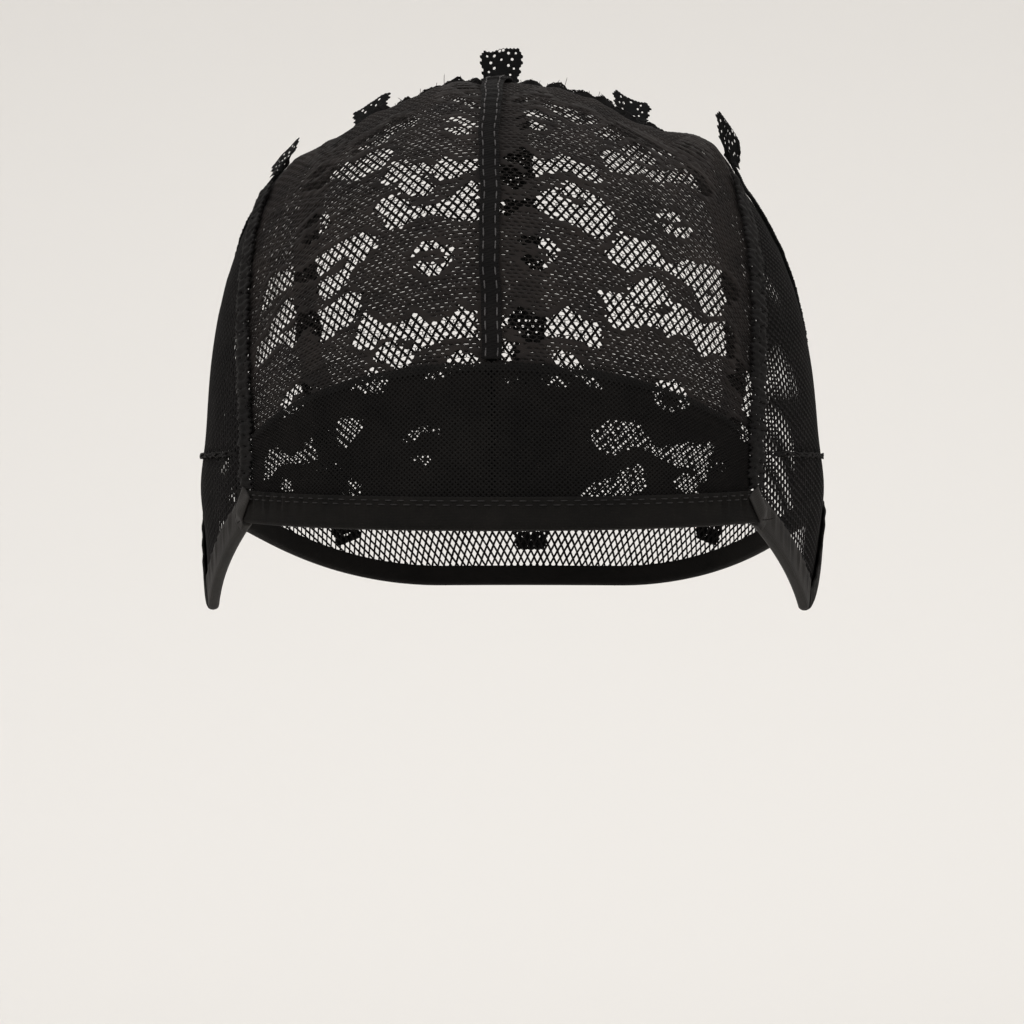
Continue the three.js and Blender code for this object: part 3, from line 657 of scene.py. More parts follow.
SHEER_RIGHT = {
    "crown_wave": [
        512, 102, 524, 97, 534, 94, 540, 91, 548, 97, 556, 105, 566, 107, 580, 108, 590, 113, 601, 121,
        590, 125, 578, 123, 566, 119, 556, 113, 546, 107, 538, 99, 528, 100, 518, 104,
    ],
    "crown_arc": [518, 119, 528, 111, 536, 110, 546, 115, 554, 122, 544, 119, 534, 115, 526, 118],
    "crown_lens": [516, 129, 526, 122, 536, 121, 544, 126, 547, 131, 536, 129, 526, 129],
    "lens_high": [
        596, 134, 606, 127, 614, 124, 622, 127, 634, 133, 645, 138, 636, 139, 624, 137, 618, 142, 610, 141,
        602, 138,
    ],
    "thread_high": [644, 136, 654, 143, 664, 149, 678, 157, 674, 159, 662, 155, 652, 149, 643, 142],
    "band_outer_high": [
        600, 152, 612, 151, 622, 156, 630, 160, 640, 166, 650, 170, 660, 172, 670, 172, 680, 169, 690, 168,
        698, 172, 704, 180, 711, 190, 711, 197, 704, 196, 698, 191, 690, 185, 680, 181, 670, 181, 662, 185,
        654, 181, 646, 175, 636, 174, 624, 173, 612, 171, 606, 164,
    ],
    "lens_outer_high": [
        621, 150, 630, 144, 638, 142, 646, 149, 652, 157, 659, 167, 650, 165, 640, 160, 630, 157,
    ],
    "corner_pair_a": [677, 151, 684, 142, 692, 138, 698, 141, 692, 148, 686, 155, 680, 157],
    "corner_pair_b": [687, 158, 694, 150, 702, 147, 707, 153, 707, 161, 698, 163, 692, 161],
    "band_high": [
        502, 157, 508, 154, 516, 153, 524, 147, 532, 153, 540, 160, 556, 160, 564, 154, 572, 160, 582, 164,
        594, 167, 600, 176, 602, 183, 592, 181, 580, 177, 568, 171, 556, 172, 544, 173, 536, 176, 527, 179,
        526, 170, 520, 164, 508, 161,
    ],
    "band_high_blob": [502, 166, 508, 165, 516, 169, 524, 175, 527, 184, 520, 190, 512, 188, 502, 183],
    "band_second": [
        500, 215, 500, 200, 512, 199, 524, 201, 534, 197, 540, 192, 548, 190, 558, 188, 560, 197, 568, 200,
        578, 206, 588, 206, 586, 199, 576, 198, 566, 195, 561, 188, 566, 181, 574, 184, 584, 190, 594, 195,
        606, 203, 615, 214, 614, 226, 608, 236, 596, 238, 586, 234, 580, 227, 570, 223, 558, 219, 546, 215,
        538, 209, 526, 205, 514, 209, 508, 215,
    ],
    "eye_inner_top": [
        517, 244, 524, 237, 532, 234, 540, 237, 550, 240, 559, 246, 556, 257, 550, 264, 549, 256, 550, 250,
        540, 248, 530, 241, 522, 245,
    ],
    "eye_inner_low": [518, 258, 530, 255, 540, 260, 551, 266, 546, 269, 536, 269, 526, 266],
    "eye_outer_top": [657, 222, 658, 213, 668, 210, 677, 214, 682, 222, 672, 220, 664, 219],
    "eye_outer_low": [
        661, 226, 672, 226, 682, 229, 689, 227, 694, 232, 688, 237, 682, 239, 674, 235, 664, 231,
    ],
    "diagonal_big": [
        602, 253, 612, 247, 617, 240, 620, 232, 630, 237, 640, 241, 648, 239, 656, 249, 666, 261, 672, 266,
        680, 264, 690, 261, 700, 265, 712, 267, 722, 270, 730, 279, 739, 292, 737, 300, 727, 304, 718, 309,
        712, 301, 716, 294, 708, 288, 700, 291, 692, 288, 684, 281, 676, 276, 666, 271, 656, 266, 646, 265,
        636, 266, 628, 271, 618, 266, 610, 259,
    ],
    "blob_outer": [
        693, 293, 700, 292, 708, 295, 716, 300, 723, 306, 719, 315, 710, 316, 702, 311, 697, 302,
    ],
    "lens_middle": [
        628, 292, 636, 282, 646, 278, 656, 278, 663, 284, 668, 294, 673, 305, 664, 304, 656, 309, 646, 309,
        636, 304, 630, 299,
    ],
    "middle_big": [
        600, 291, 610, 293, 620, 292, 628, 300, 634, 306, 644, 312, 656, 313, 668, 316, 674, 312, 672, 304,
        680, 305, 688, 311, 696, 319, 706, 325, 716, 324, 727, 323, 733, 332, 735, 344, 733, 359, 726, 357,
        718, 354, 710, 354, 704, 359, 698, 351, 694, 341, 686, 335, 676, 333, 668, 339, 664, 331, 656, 326,
        644, 325, 634, 327, 626, 330, 616, 328, 608, 319, 606, 304,
    ],
    "wavy_band": [
        500, 327, 500, 319, 508, 315, 516, 313, 520, 305, 526, 308, 536, 317, 548, 318, 558, 313, 566, 305,
        574, 313, 584, 320, 594, 321, 601, 330, 603, 350, 594, 349, 584, 343, 574, 339, 562, 336, 550, 337,
        536, 342, 524, 343, 524, 334, 516, 329, 508, 327,
    ],
    "wavy_blob": [500, 358, 501, 342, 508, 339, 516, 343, 521, 352, 515, 362, 506, 363],
    "arc_low": [
        551, 361, 560, 351, 568, 353, 576, 359, 586, 367, 595, 377, 604, 390, 594, 387, 584, 380, 574, 373,
        564, 369,
    ],
    "arc_low_inner": [
        524, 376, 534, 369, 544, 365, 551, 374, 560, 380, 571, 385, 560, 386, 546, 383, 534, 381, 524, 385,
        510, 385, 504, 380,
    ],
    "edge_blob": [
        727, 378, 736, 370, 738, 358, 742, 365, 748, 374, 753, 384, 751, 395, 746, 402, 738, 391, 732, 385,
    ],
    "edge_low": [743, 400, 751, 402, 753, 413, 748, 418, 743, 409],
    "edge_lowest": [725, 420, 734, 417, 742, 424, 750, 437, 745, 442, 734, 433],
    "eye_side": [
        654, 390, 660, 382, 674, 380, 682, 385, 687, 396, 688, 410, 680, 408, 680, 400, 674, 394, 666, 392,
        660, 396, 662, 404, 670, 408, 676, 411, 668, 414, 658, 406,
    ],
    "under_band_diagonal": [
        584, 438, 596, 427, 606, 419, 618, 421, 628, 423, 638, 421, 645, 429, 647, 438, 654, 445, 662, 450,
        672, 445, 684, 443, 698, 445, 712, 443, 723, 450, 729, 462, 722, 471, 710, 477, 702, 482, 696, 473,
        690, 467, 680, 467, 672, 465, 662, 459, 652, 453, 642, 447, 632, 447, 622, 451, 610, 455, 600, 451,
        593, 443,
    ],
    "under_band_blob": [
        578, 498, 585, 487, 598, 483, 608, 479, 616, 473, 628, 469, 638, 463, 645, 474, 647, 489, 636, 493,
        624, 499, 610, 497, 596, 500,
    ],
    "under_band_corner": [673, 480, 684, 473, 695, 477, 702, 485, 695, 495, 684, 493, 677, 488],
}


def chart_of(points):
    """Where points of the cap, in metres, lie on the chart."""
    x = points[:, 0] - CAMERA_AIM.x
    y = points[:, 1]
    across = x * math.cos(CAMERA_TURN) + y * math.sin(CAMERA_TURN)
    away = CAMERA_DISTANCE - x * math.sin(CAMERA_TURN) + y * math.cos(CAMERA_TURN)
    step = CHART_UNIT * away / CAMERA_DISTANCE
    return np.stack([CHART_MIDDLE + across / step, CHART_MIDDLE - (points[:, 2] - CAMERA_AIM.z) / step], 1)


FAR = 1e9


def distance_to(places, start, end):
    """How far chart places are from a straight line between two others."""
    way = end - start
    t = np.clip(((places - start) @ way) / (way @ way), 0, 1)
    return np.linalg.norm(places - (start + t[:, None] * way), axis=1)


def depth_in(places, outlines):
    """How far chart places lie inside the nearest of the outlines; negative outside."""
    best = np.full(len(places), -FAR)
    for outline in outlines.values():
        corners = np.array(outline, float).reshape(-1, 2)
        inside = np.zeros(len(places), bool)
        nearest = np.full(len(places), FAR)
        for a, b in zip(corners, np.roll(corners, -1, 0)):
            if a[1] != b[1]:
                crosses = (a[1] > places[:, 1]) != (b[1] > places[:, 1])
                x = a[0] + (places[:, 1] - a[1]) * (b[0] - a[0]) / (b[1] - a[1])
                inside ^= crosses & (places[:, 0] < x)
            nearest = np.minimum(nearest, distance_to(places, a, b))
        best = np.maximum(best, np.where(inside, nearest, -nearest))
    return best


# Front lace

WRINKLE_HEIGHT = 0.4
WRINKLE_WIDTH = 3.2
WRINKLES = [  # folds in the dense lace, charted like the openings
    [273, 214, 334, 199, 382, 162],
    [321, 227, 351, 208, 380, 181],
    [262, 262, 300, 246, 322, 238],
    [360, 294, 391, 268, 425, 247],
    [400, 306, 440, 290, 478, 284],
    [317, 370, 351, 348, 371, 342],
    [609, 181, 642, 199, 685, 212],
    [556, 226, 590, 234, 603, 250],
    [570, 283, 603, 294, 616, 308],
    [605, 344, 642, 364, 655, 377],
    [655, 255, 682, 268, 700, 274],
]
LACE_COLUMNS = 40
LACE_ROWS = 178
LACE_DEPTH = 0.24
LACE_PAD = 0.14
LACE_RIPPLE = 0.13
LACE_RIPPLES = 44
SHEER_OPENNESS = 0.88
SLIT_OPENNESS = 0.58
SLIT_FLATNESS = 0.15
LEAST_SLIT = 0.25
SHEER_EDGE = (-2.5, 0.8)
THICK_RIM = (2.5, 6)
BAR_COUNT = 34
BAR_ROWS = (0.7, 0.8)
LACE_LIFT = 0.45


def wrinkles_at(places):
    total = np.zeros(len(places))
    for line in WRINKLES:
        corners = np.array(line, float).reshape(-1, 2)
        nearest = np.full(len(places), FAR)
        for start, end in zip(corners[:-1], corners[1:]):
            nearest = np.minimum(nearest, distance_to(places, start, end))
        total += WRINKLE_HEIGHT * bell(nearest / WRINKLE_WIDTH)
    return total


def lace_place(side):
    def place(x, y, lift):
        column = x / (COLUMN_UNITS * LACE_COLUMNS)
        row = y / (ROW_UNITS * LACE_ROWS + 1)
        pitch = lerp(hem_pitch(column), crown_pitch(column) - SEAM, row)
        spread = lerp(SEAM, side_spread(pitch) - SEAM, column)
        ripple = LACE_RIPPLE * np.sin(2 * np.pi * LACE_RIPPLES * row + 1.4 * np.sin(9 * column) + side)
        direction = pitched(pitch, side * spread)
        chart = chart_of(seat(direction, np.zeros(len(direction))))
        return seat(direction, lift + LACE_LIFT + ripple + wrinkles_at(chart))

    return place


def lace_openness(cells, place, outlines):
    """Wide holes in the sheer openings, closed yarn round them and flat slits everywhere else."""
    centres = place(cells[:, 0].astype(float), cells[:, 1].astype(float), np.zeros(len(cells)))
    inside = depth_in(chart_of(centres), outlines)
    sheer = smooth(inside, *SHEER_EDGE)
    thick = 1 - smooth(-inside, *THICK_RIM)
    wander = rng.random(len(cells))
    column = cells[:, 0] / (COLUMN_UNITS * LACE_COLUMNS)
    row = cells[:, 1] / (ROW_UNITS * LACE_ROWS)
    bars = smooth(np.sin(2 * np.pi * BAR_COUNT * row + 3 * np.sin(8 * column)), -0.1, 0.4)
    sheer = sheer * (1 - smooth(row, *BAR_ROWS) * (1 - bars))
    seamward = smooth(column, 0.01, 0.05) * smooth(1 - column, 0.01, 0.06) * smooth(1 - row, 0.02, 0.07)
    pitch = lerp(hem_pitch(column), crown_pitch(column), row)
    covered = pitch < band_top_pitch(column)
    slit = SLIT_OPENNESS * (0.8 + 0.35 * wander) * (1 - thick) * seamward * ~covered
    openness = lerp(slit, SHEER_OPENNESS * (0.96 + 0.06 * wander), sheer)
    flatness = lerp(SLIT_FLATNESS * (0.75 + 0.5 * rng.random(len(cells))), 0.97, sheer)
    return np.where(openness < LEAST_SLIT, 0, openness), flatness


def front_lace(side, name, outlines):
    cells = hex_cells(LACE_COLUMNS, LACE_ROWS)
    place = lace_place(side)
    openness, flatness = lace_openness(cells, place, outlines)
    return net_piece(name, "lace", LACE, HEX, cells, openness, place, LACE_DEPTH, LACE_PAD, flatness)


# Forehead band

BAND_COLUMNS = 220
BAND_ROWS = 62
BAND_DEPTH = 0.22
BAND_OPENNESS = 0.52
BAND_EDGE_ROWS = 4
BAND_EDGE_OPENNESS = 0.2


def forehead_band():
    inset = degrees_of(SIDE_BAND_WIDTH / 2 + GAP)

    def place(x, y, lift):
        share = 2 * x / BAND_COLUMNS - 1
        pitch = lerp(hem_pitch(share), band_top_pitch(share), y / BAND_ROWS)
        return seat(pitched(pitch, share * (side_spread(pitch) - inset)), lift + OVERLAY + NET / 2)

    cells = diamond_cells(BAND_COLUMNS, BAND_ROWS)
    row = cells[:, 1] / BAND_ROWS
    share = np.abs(2 * cells[:, 0] / BAND_COLUMNS - 1)
    openness = BAND_OPENNESS + 0.1 * share - 0.1 * bell(share / 0.5) * bell((row - 0.4) / 0.4)
    openness = openness * (0.93 + 0.14 * rng.random(len(cells)))
    openness[cells[:, 1] > BAND_ROWS - BAND_EDGE_ROWS] = BAND_EDGE_OPENNESS
    return net_piece("forehead_band", "net", BAND_NET, DIAMOND, cells, openness, place, BAND_DEPTH)


# Back net and ear tabs: one lattice round an axis that leans forward, so that it meets the crown seam and
# the nape alike, and the panels are cut from it

NET_AXIS_ANGLE = 55
NET_CELL_WIDTH = 2.35
NET_CELL_HEIGHT = 3.2
NET_RADIUS = 86
NET_DEPTH = 0.46
NET_OPENNESS = 0.6
NET_BACK_OPENNESS = 0.66
EAR_TAB_OPENNESS = 0.61
CROWN_GATHER = 4
NET_COLUMNS = 2 * round(2 * math.pi * NET_RADIUS / NET_CELL_WIDTH)
NET_ROWS = 2 * round(math.pi * NET_RADIUS / NET_CELL_HEIGHT)
NET_AXIS = pitched(NET_AXIS_ANGLE, 0)[0]
NET_LEVEL = pitched(NET_AXIS_ANGLE - 90, 0)[0]
NET_SIDE = np.array([1.0, 0, 0])
CUT_MARGIN = 0.8
BEHIND_AZIMUTHS = (105, 150)
LOWEST_PITCH_ANGLE = -60


def net_direction(x, y):
    turn = 2 * np.pi * x / NET_COLUMNS
    fall = np.pi * y / NET_ROWS
    level = NET_LEVEL * np.cos(turn)[:, None] + NET_SIDE * np.sin(turn)[:, None]
    return NET_AXIS * np.cos(fall)[:, None] + level * np.sin(fall)[:, None]


def net_place(x, y, lift):
    return seat(net_direction(x, y), lift + NET / 2)


def in_front(direction, margin):
    """Whether directions lie in the lace front, which margin makes wider, in degrees."""
    pitch, spread = pitch_of(direction), spread_of(direction)
    share = spread / CROWN_SPREAD_ANGLE
    ahead = (pitch > LOWEST_PITCH_ANGLE) & (pitch < crown_pitch(share) + margin)
    return ahead & (np.abs(spread) < side_spread(pitch) + margin)


def ear_back_azimuth(height):
    rise = (height + EAR_ARCH_DROP) / (EAR_SEAM_RISE + EAR_ARCH_DROP)
    return lerp(EAR_BACK_LOW_AZIMUTH, EAR_BACK_TOP_AZIMUTH, np.clip(rise, 0, 1))


def cut_net(name, wanted, openness):
    cells = diamond_cells(NET_COLUMNS, NET_ROWS)
    direction = net_direction(cells[:, 0].astype(float), cells[:, 1].astype(float))
    chosen = wanted(direction)
    cells, direction = cells[chosen], direction[chosen]
    behind = smooth(np.abs(azimuth_of(direction)), *BEHIND_AZIMUTHS) * (openness == NET_OPENNESS)
    holes = lerp(openness, NET_BACK_OPENNESS, behind) * (0.94 + 0.12 * rng.random(len(cells)))
    past_crown = pitch_of(direction) - crown_pitch(spread_of(direction) / CROWN_SPREAD_ANGLE)
    along_crown = (direction[:, 2] > 0) & (np.abs(spread_of(direction)) < CROWN_SPREAD_ANGLE + 1)
    holes[(np.abs(past_crown) < degrees_of(CROWN_GATHER)) & along_crown] = 0
    return net_piece(name, "net", NETTING, DIAMOND, cells, holes, net_place, NET_DEPTH)


def back_region(direction):
    base = on_form(direction)
    azimuth, height = np.abs(azimuth_of(base)), base[:, 2]
    above = height > lower_edge(azimuth) + CUT_MARGIN
    over_ear = height > EAR_SEAM_RISE + CUT_MARGIN
    behind_ear = azimuth > ear_back_azimuth(height) + degrees_of(CUT_MARGIN)
    return above & (over_ear | behind_ear) & ~in_front(direction, degrees_of(CUT_MARGIN))


def ear_region(side):
    def region(direction):
        base = on_form(direction)
        azimuth, height = azimuth_of(base) * side, base[:, 2]
        above = height > lower_edge(azimuth) + CUT_MARGIN
        low = height < EAR_SEAM_RISE - CUT_MARGIN / 2
        ahead = azimuth < ear_back_azimuth(height)
        return above & low & ahead & (azimuth > SIDE_AZIMUTH + degrees_of(CUT_MARGIN))

    return region


# Ribbons

EDGE_STEP = 1e-3
HEM_STATIONS = 220
EAR_TAPE_STATIONS = 44
EAR_END_STATIONS = 14
BINDING_STATIONS = 260
FOLD_BEND = 0.75


def across_curve(curve, t, step):
    """The form under a curve's points, and the way square to the curve there."""
    here, ahead, back = (on_form(curve(t + d)) for d in (0, step, -step))
    return here, np.cross(form_normal(here), unit(ahead - back))


def edge_frame(edge, station):
    here, inward = across_curve(edge, np.array([station]), EDGE_STEP)
    inward = unit(inward)
    return here, -inward if inward[0, 2] < 0 else inward


def folded(width, lift, thickness=0.5, turns=7, legs=7):
    """Outline of a ribbon folded round an edge: its two legs and the round fold below them."""
    low, high = -GAP - TAPE / 2, lift + TAPE / 2
    middle, reach = (low + high) / 2, (high - low) / 2
    angles = np.linspace(0, math.pi, turns)[1:-1]
    bend = [(-FOLD_BEND * math.sin(a), middle - reach * math.cos(a)) for a in angles]
    across = np.linspace(width, 0, legs)
    line = np.array([(x, low) for x in across] + bend + [(x, high) for x in across[::-1]])
    along = unit(np.gradient(line, axis=0))
    normal = np.stack([-along[:, 1], along[:, 0]], 1) * thickness / 2
    return np.concatenate([line + normal, (line - normal)[::-1]])


def edge_ribbon(name, edge, stations, width, lift, pucker, upright=False, **settings):
    def place(station, across, height):
        here, inward = edge_frame(edge, station)
        way = inward
        if upright:
            normal = form_normal(here)
            up = np.array([[0, 0, 1.0]]) - normal * normal[:, 2:]
            way = up / (up * inward).sum()
        height = height + pucker(station, across) * smooth(height, 0, lift)
        return seat(here + way * across[:, None], height)

    return sweep(name, folded(width, lift), stations, place, node=name, **settings)


def flat_outline(half, low, high, columns=8):
    """A flat band with rounded long edges."""
    across = np.linspace(-half, half, columns + 1)
    crown = 1 - 0.55 * np.abs(across / half) ** 8
    middle, reach = (low + high) / 2, (high - low) / 2
    lower = [(x, middle - reach * c) for x, c in zip(across, crown)]
    upper = [(x, middle + reach * c) for x, c in zip(across, crown)]
    return np.array(lower + upper[::-1])


def spaced(low, high, steps):
    return np.linspace(low, high, steps + 1)


def hem_edge(share):
    return pitched(hem_pitch(share), share * (HEM_SPREAD_ANGLE - SEAM))


def hem_tape():
    def pucker(share, across):
        ends = smooth(abs(share), 0.5, 0.95)
        wave = math.sin(share * 118) + 0.6 * math.sin(share * 187 + 1)
        return (0.1 + 0.3 * ends) * wave * smooth(across, 0, 5) * bell((across - HEM_TAPE_WIDTH) / 5)

    route = hem_edge, spaced(-1, 1, HEM_STATIONS), HEM_TAPE_WIDTH, HEM_TAPE_LIFT, pucker
    return edge_ribbon("front_hem_tape", *route, slot="tape", material=TAPE_CLOTH)


def ear_tape(side, name):
    def edge(azimuth):
        return at_level(side * azimuth, lower_edge(azimuth))

    def pucker(azimuth, across):
        fold = math.sin(azimuth * 2.3 + side) + 0.8 * math.sin(azimuth * 4.1 + 2 * side)
        return 0.17 * fold * smooth(across, 0, 4)

    stations = spaced(SIDE_AZIMUTH + 3 * SEAM, EAR_TIP_AZIMUTH - 3 * SEAM, EAR_TAPE_STATIONS)
    route = edge, stations, EAR_TAPE_WIDTH, NET + GAP, pucker, True
    return edge_ribbon(f"ear_tape_{name}", *route, slot="ear_tape", material=EAR_CLOTH)


EAR_END_WIDTH = 4.2
EAR_END_THICKNESS = 0.5
EAR_END_CLEARANCE = 0.2
EAR_END_LOW_TURN = 1.2
EAR_END_HIGH_TURN = 3.2
EAR_END_FALL = 1.5
EAR_END_RISE = 6.5


def ear_tape_end(side, name):
    """The raw end of the ear ribbon, folded over the end of the hem ribbon."""
    low = at_level(side * (SIDE_AZIMUTH + EAR_END_LOW_TURN), -HEM_DROP - EAR_END_FALL)
    high = at_level(side * (SIDE_AZIMUTH - EAR_END_HIGH_TURN), -HEM_DROP + EAR_END_RISE)
    over_ear_tape = NET + GAP + TAPE + EAR_END_CLEARANCE
    over_hem_tape = HEM_TAPE_LIFT + TAPE + EAR_END_CLEARANCE

    def place(along, across, lift):
        middle = on_form(between(low, high, np.array([along])))
        way = unit(np.cross(form_normal(middle), high - low))
        rest = lerp(over_ear_tape, over_hem_tape, smooth(along, 0.05, 0.4))
        rest = rest + 0.15 * np.sin(1.5 * across + 4 * along)
        return seat(middle + way * across[:, None], lift + rest)

    outline = flat_outline(EAR_END_WIDTH / 2, 0, EAR_END_THICKNESS)
    piece = f"ear_tape_end_{name}"
    return sweep(piece, outline, spaced(0, 1, EAR_END_STATIONS), place, slot="ear_tape", material=EAR_CLOTH)


def back_binding():
    def edge(azimuth):
        turned = np.where(azimuth > 180, azimuth - 360, azimuth)
        return at_level(turned, lower_edge(turned))

    def pucker(azimuth, across):
        return 0.12 * math.sin(azimuth * 1.7) * smooth(across, 0, 4)

    stations = spaced(EAR_TIP_AZIMUTH + 2 * SEAM, 360 - EAR_TIP_AZIMUTH - 2 * SEAM, BINDING_STATIONS)
    route = edge, stations, BINDING_WIDTH, NET + GAP, pucker
    return edge_ribbon("back_binding", *route, slot="tape", material=TAPE_CLOTH)


# Centre seam and rows of stitches

CENTRE_STATIONS = 260
CENTRE_SETBACK = 1.65
CENTRE_WANDERS = ((0.2, 23), (0.12, 61))
CENTRE_STEP = 0.77
CENTRE_STEP_LENGTH = 0.006
CENTRE_STEP_HEIGHT = 0.25
CENTRE_LOW = float(band_top_pitch(np.zeros(1))[0]) + 2 * SEAM
CENTRE_HIGH = CROWN_PITCH_ANGLE - degrees_of(CENTRE_SETBACK)
ALLOWANCE_STATIONS = 120
ALLOWANCE_HALF_WIDTH = 2.4
ALLOWANCE_HIGH = -0.15
ALLOWANCE_LOW = -0.75


def centre_width(along):
    return lerp(CENTRE_TAPE_LOW_WIDTH, CENTRE_TAPE_TOP_WIDTH, along**TAPE_FLARE)


def centre_upper(along):
    """1 on the tape's upper part, which lies over the lower one, and 0 below."""
    return smooth(along, CENTRE_STEP, CENTRE_STEP + CENTRE_STEP_LENGTH)


def centre_point(along, across, lift):
    middle = on_form(pitched(lerp(CENTRE_LOW, CENTRE_HIGH, np.atleast_1d(along)), 0))
    points = np.repeat(middle, len(across), 0) if len(middle) == 1 else middle
    points = points.copy()
    points[:, 0] += across
    return seat(points, lift)


def centre_tape():
    def place(along, across, lift):
        upper = centre_upper(along)
        ripple = 0.1 * math.sin(along * 210) + upper * 0.16 * math.sin(along * 330)
        wander = sum(size * math.sin(along * count) for size, count in CENTRE_WANDERS)
        height = lift + CENTRE_STEP_HEIGHT * upper + ripple * smooth(lift, OVERLAY, OVERLAY + TAPE)
        return centre_point(along, across * centre_width(along) * (1 + 0.12 * upper) + wander, height)

    name = "centre_seam_tape"
    outline = flat_outline(0.5, OVERLAY + 0.05, OVERLAY + TAPE, 10)
    stations = spaced(0, 1, CENTRE_STATIONS)
    return sweep(name, outline, stations, place, node=name, slot="tape", material=SEAM_CLOTH)


def centre_allowance():
    """The seam allowance on the inside, which closes the seam between the two lace halves."""
    first = float(hem_pitch(np.zeros(1))[0]) + 1.5

    def place(along, across, lift):
        middle = on_form(pitched(lerp(first, CENTRE_HIGH, along), np.zeros(1)))
        points = np.repeat(middle, len(across), 0)
        points[:, 0] += across + 0.2 * math.sin(along * 40)
        return seat(points, lift)

    outline = flat_outline(ALLOWANCE_HALF_WIDTH, ALLOWANCE_LOW, ALLOWANCE_HIGH)
    name = "centre_seam_allowance"
    return sweep(name, outline, spaced(0, 1, ALLOWANCE_STATIONS), place, slot="net", material=SEAM_CLOTH)


CENTRE_BULGE = 1.16
CENTRE_RUN = HALF_WIDTH * math.radians(CENTRE_HIGH - CENTRE_LOW) * CENTRE_BULGE
CENTRE_THREAD = 0.00018
CENTRE_STITCH = 2.1
CENTRE_STITCH_GAP = 0.9
CENTRE_STITCH_LIFT = 0.05
CENTRE_ROW_PLACE = 0.3
HEM_RUN = 142.0
HEM_RUN_MARGIN = 3
HEM_THREAD = 0.00014
HEM_STITCH = 1.7
HEM_STITCH_GAP = 1.3
HEM_STITCH_LIFT = 0.1
HEM_ROWS = ((HEM_TAPE_WIDTH - 0.9, 0.0), (HEM_TAPE_WIDTH - 1.9, 1.4))
STITCH_START = 0.4
STITCH_RISE = 0.12
STITCH_DIVE = 0.25


def stitch_row(place, run, length, gap):
    """Lines of single stitches: place gives points for distances along the row and lifts."""
    lines = []
    start = STITCH_START
    while start + length < run:
        t = np.linspace(0, 1, 7)
        lines.append(place(start + t * length, STITCH_RISE - STITCH_DIVE * (2 * t - 1) ** 4))
        start += length + gap
    return lines


def centre_stitches():
    lines = []
    for side in (-1, 1):

        def place(distance, lift):
            along = distance / CENTRE_RUN
            across = side * (CENTRE_ROW_PLACE * centre_width(along))
            for size, count in CENTRE_WANDERS:
                across = across + size * np.sin(along * count)
            top = OVERLAY + TAPE + CENTRE_STEP_HEIGHT * centre_upper(along)
            return centre_point(along, across, top + lift + CENTRE_STITCH_LIFT)

        lines += stitch_row(place, CENTRE_RUN, CENTRE_STITCH, CENTRE_STITCH_GAP)
    return tubes("centre_seam_stitches", lines, CENTRE_THREAD, slot="ear_tape", material=STITCH_GREY)


def hem_stitches():
    lines = []
    for across, shift in HEM_ROWS:

        def place(distance, lift):
            share = 2 * (distance + shift) / (HEM_RUN + HEM_RUN_MARGIN) - 1
            points = []
            for s, rise in zip(share, lift):
                here, inward = edge_frame(hem_edge, float(s))
                height = np.array([HEM_TAPE_LIFT + TAPE + rise + HEM_STITCH_LIFT])
                points.append(seat(here + inward * across, height))
            return np.concatenate(points)

        lines += stitch_row(place, HEM_RUN, HEM_STITCH, HEM_STITCH_GAP)
    return tubes("hem_stitches", lines, HEM_THREAD, slot="tape", material=STITCH_DARK)


# Seams of net

SIDE_LOW = float(rise_pitch(HEM_TAPE_WIDTH + GAP - HEM_DROP, np.ones(1))[0])
SIDE_HIGH = CROWN_END_PITCH_ANGLE - degrees_of(SIDE_BAND_END)
SIDE_LENGTH = 128
SIDE_CELL = 1.25
SIDE_DEPTH = 0.6
SIDE_STEP = 0.05
SIDE_BAND_SPREAD = 3.3
SIDE_CLOSED_SHARE = 0.8
SIDE_OPENNESS = 0.24


def side_seam(side, name):
    columns = round(SIDE_BAND_WIDTH / SIDE_CELL)
    rows = round(SIDE_LENGTH / (SIDE_CELL * ROW_SHARE))

    def curve(pitch):
        return pitched(pitch, side * side_spread(pitch))

    def place(x, y, lift):
        pitch = lerp(SIDE_LOW, SIDE_HIGH, y / (ROW_UNITS * rows + 1))
        point, sideways = across_curve(curve, pitch, SIDE_STEP)
        share = x / columns - 1
        wander = 0.35 * np.sin(pitch * 0.9) + 0.2 * np.sin(pitch * 2.3)
        across = share * (SIDE_BAND_SPREAD + 0.25 * np.sin(pitch * 1.7)) + wander
        fold = 0.35 * bell((share - 0.35) / 0.3) + 0.25 * np.sin(pitch * 3.1) * (1 - share**2)
        return seat(point + sideways * across[:, None], lift + OVERLAY + NET / 2 + fold)

    cells = hex_cells(columns, rows)
    openness = np.where(rng.random(len(cells)) > SIDE_CLOSED_SHARE, SIDE_OPENNESS, 0)
    return net_piece(f"side_seam_{name}", "net", NETTING, HEX, cells, openness, place, SIDE_DEPTH)


FRILL_CELL_WIDTH = 0.95
FRILL_CELL_HEIGHT = 0.72
FRILL_DEPTH = 0.34
FRILL_PAD = 0.1
FRILL_LAYER = 0.28
FRILL_OPENNESS = 0.16
FRILL_LEAST_HOLE = 0.2
CROWN_FRILL_LENGTH = 118
CROWN_FRILL_LEAN = 0.9
EAR_FRILL_LENGTH = 62
FULL_TURN = 6.28
CROWN_SEED = 11
EAR_SEED = 20


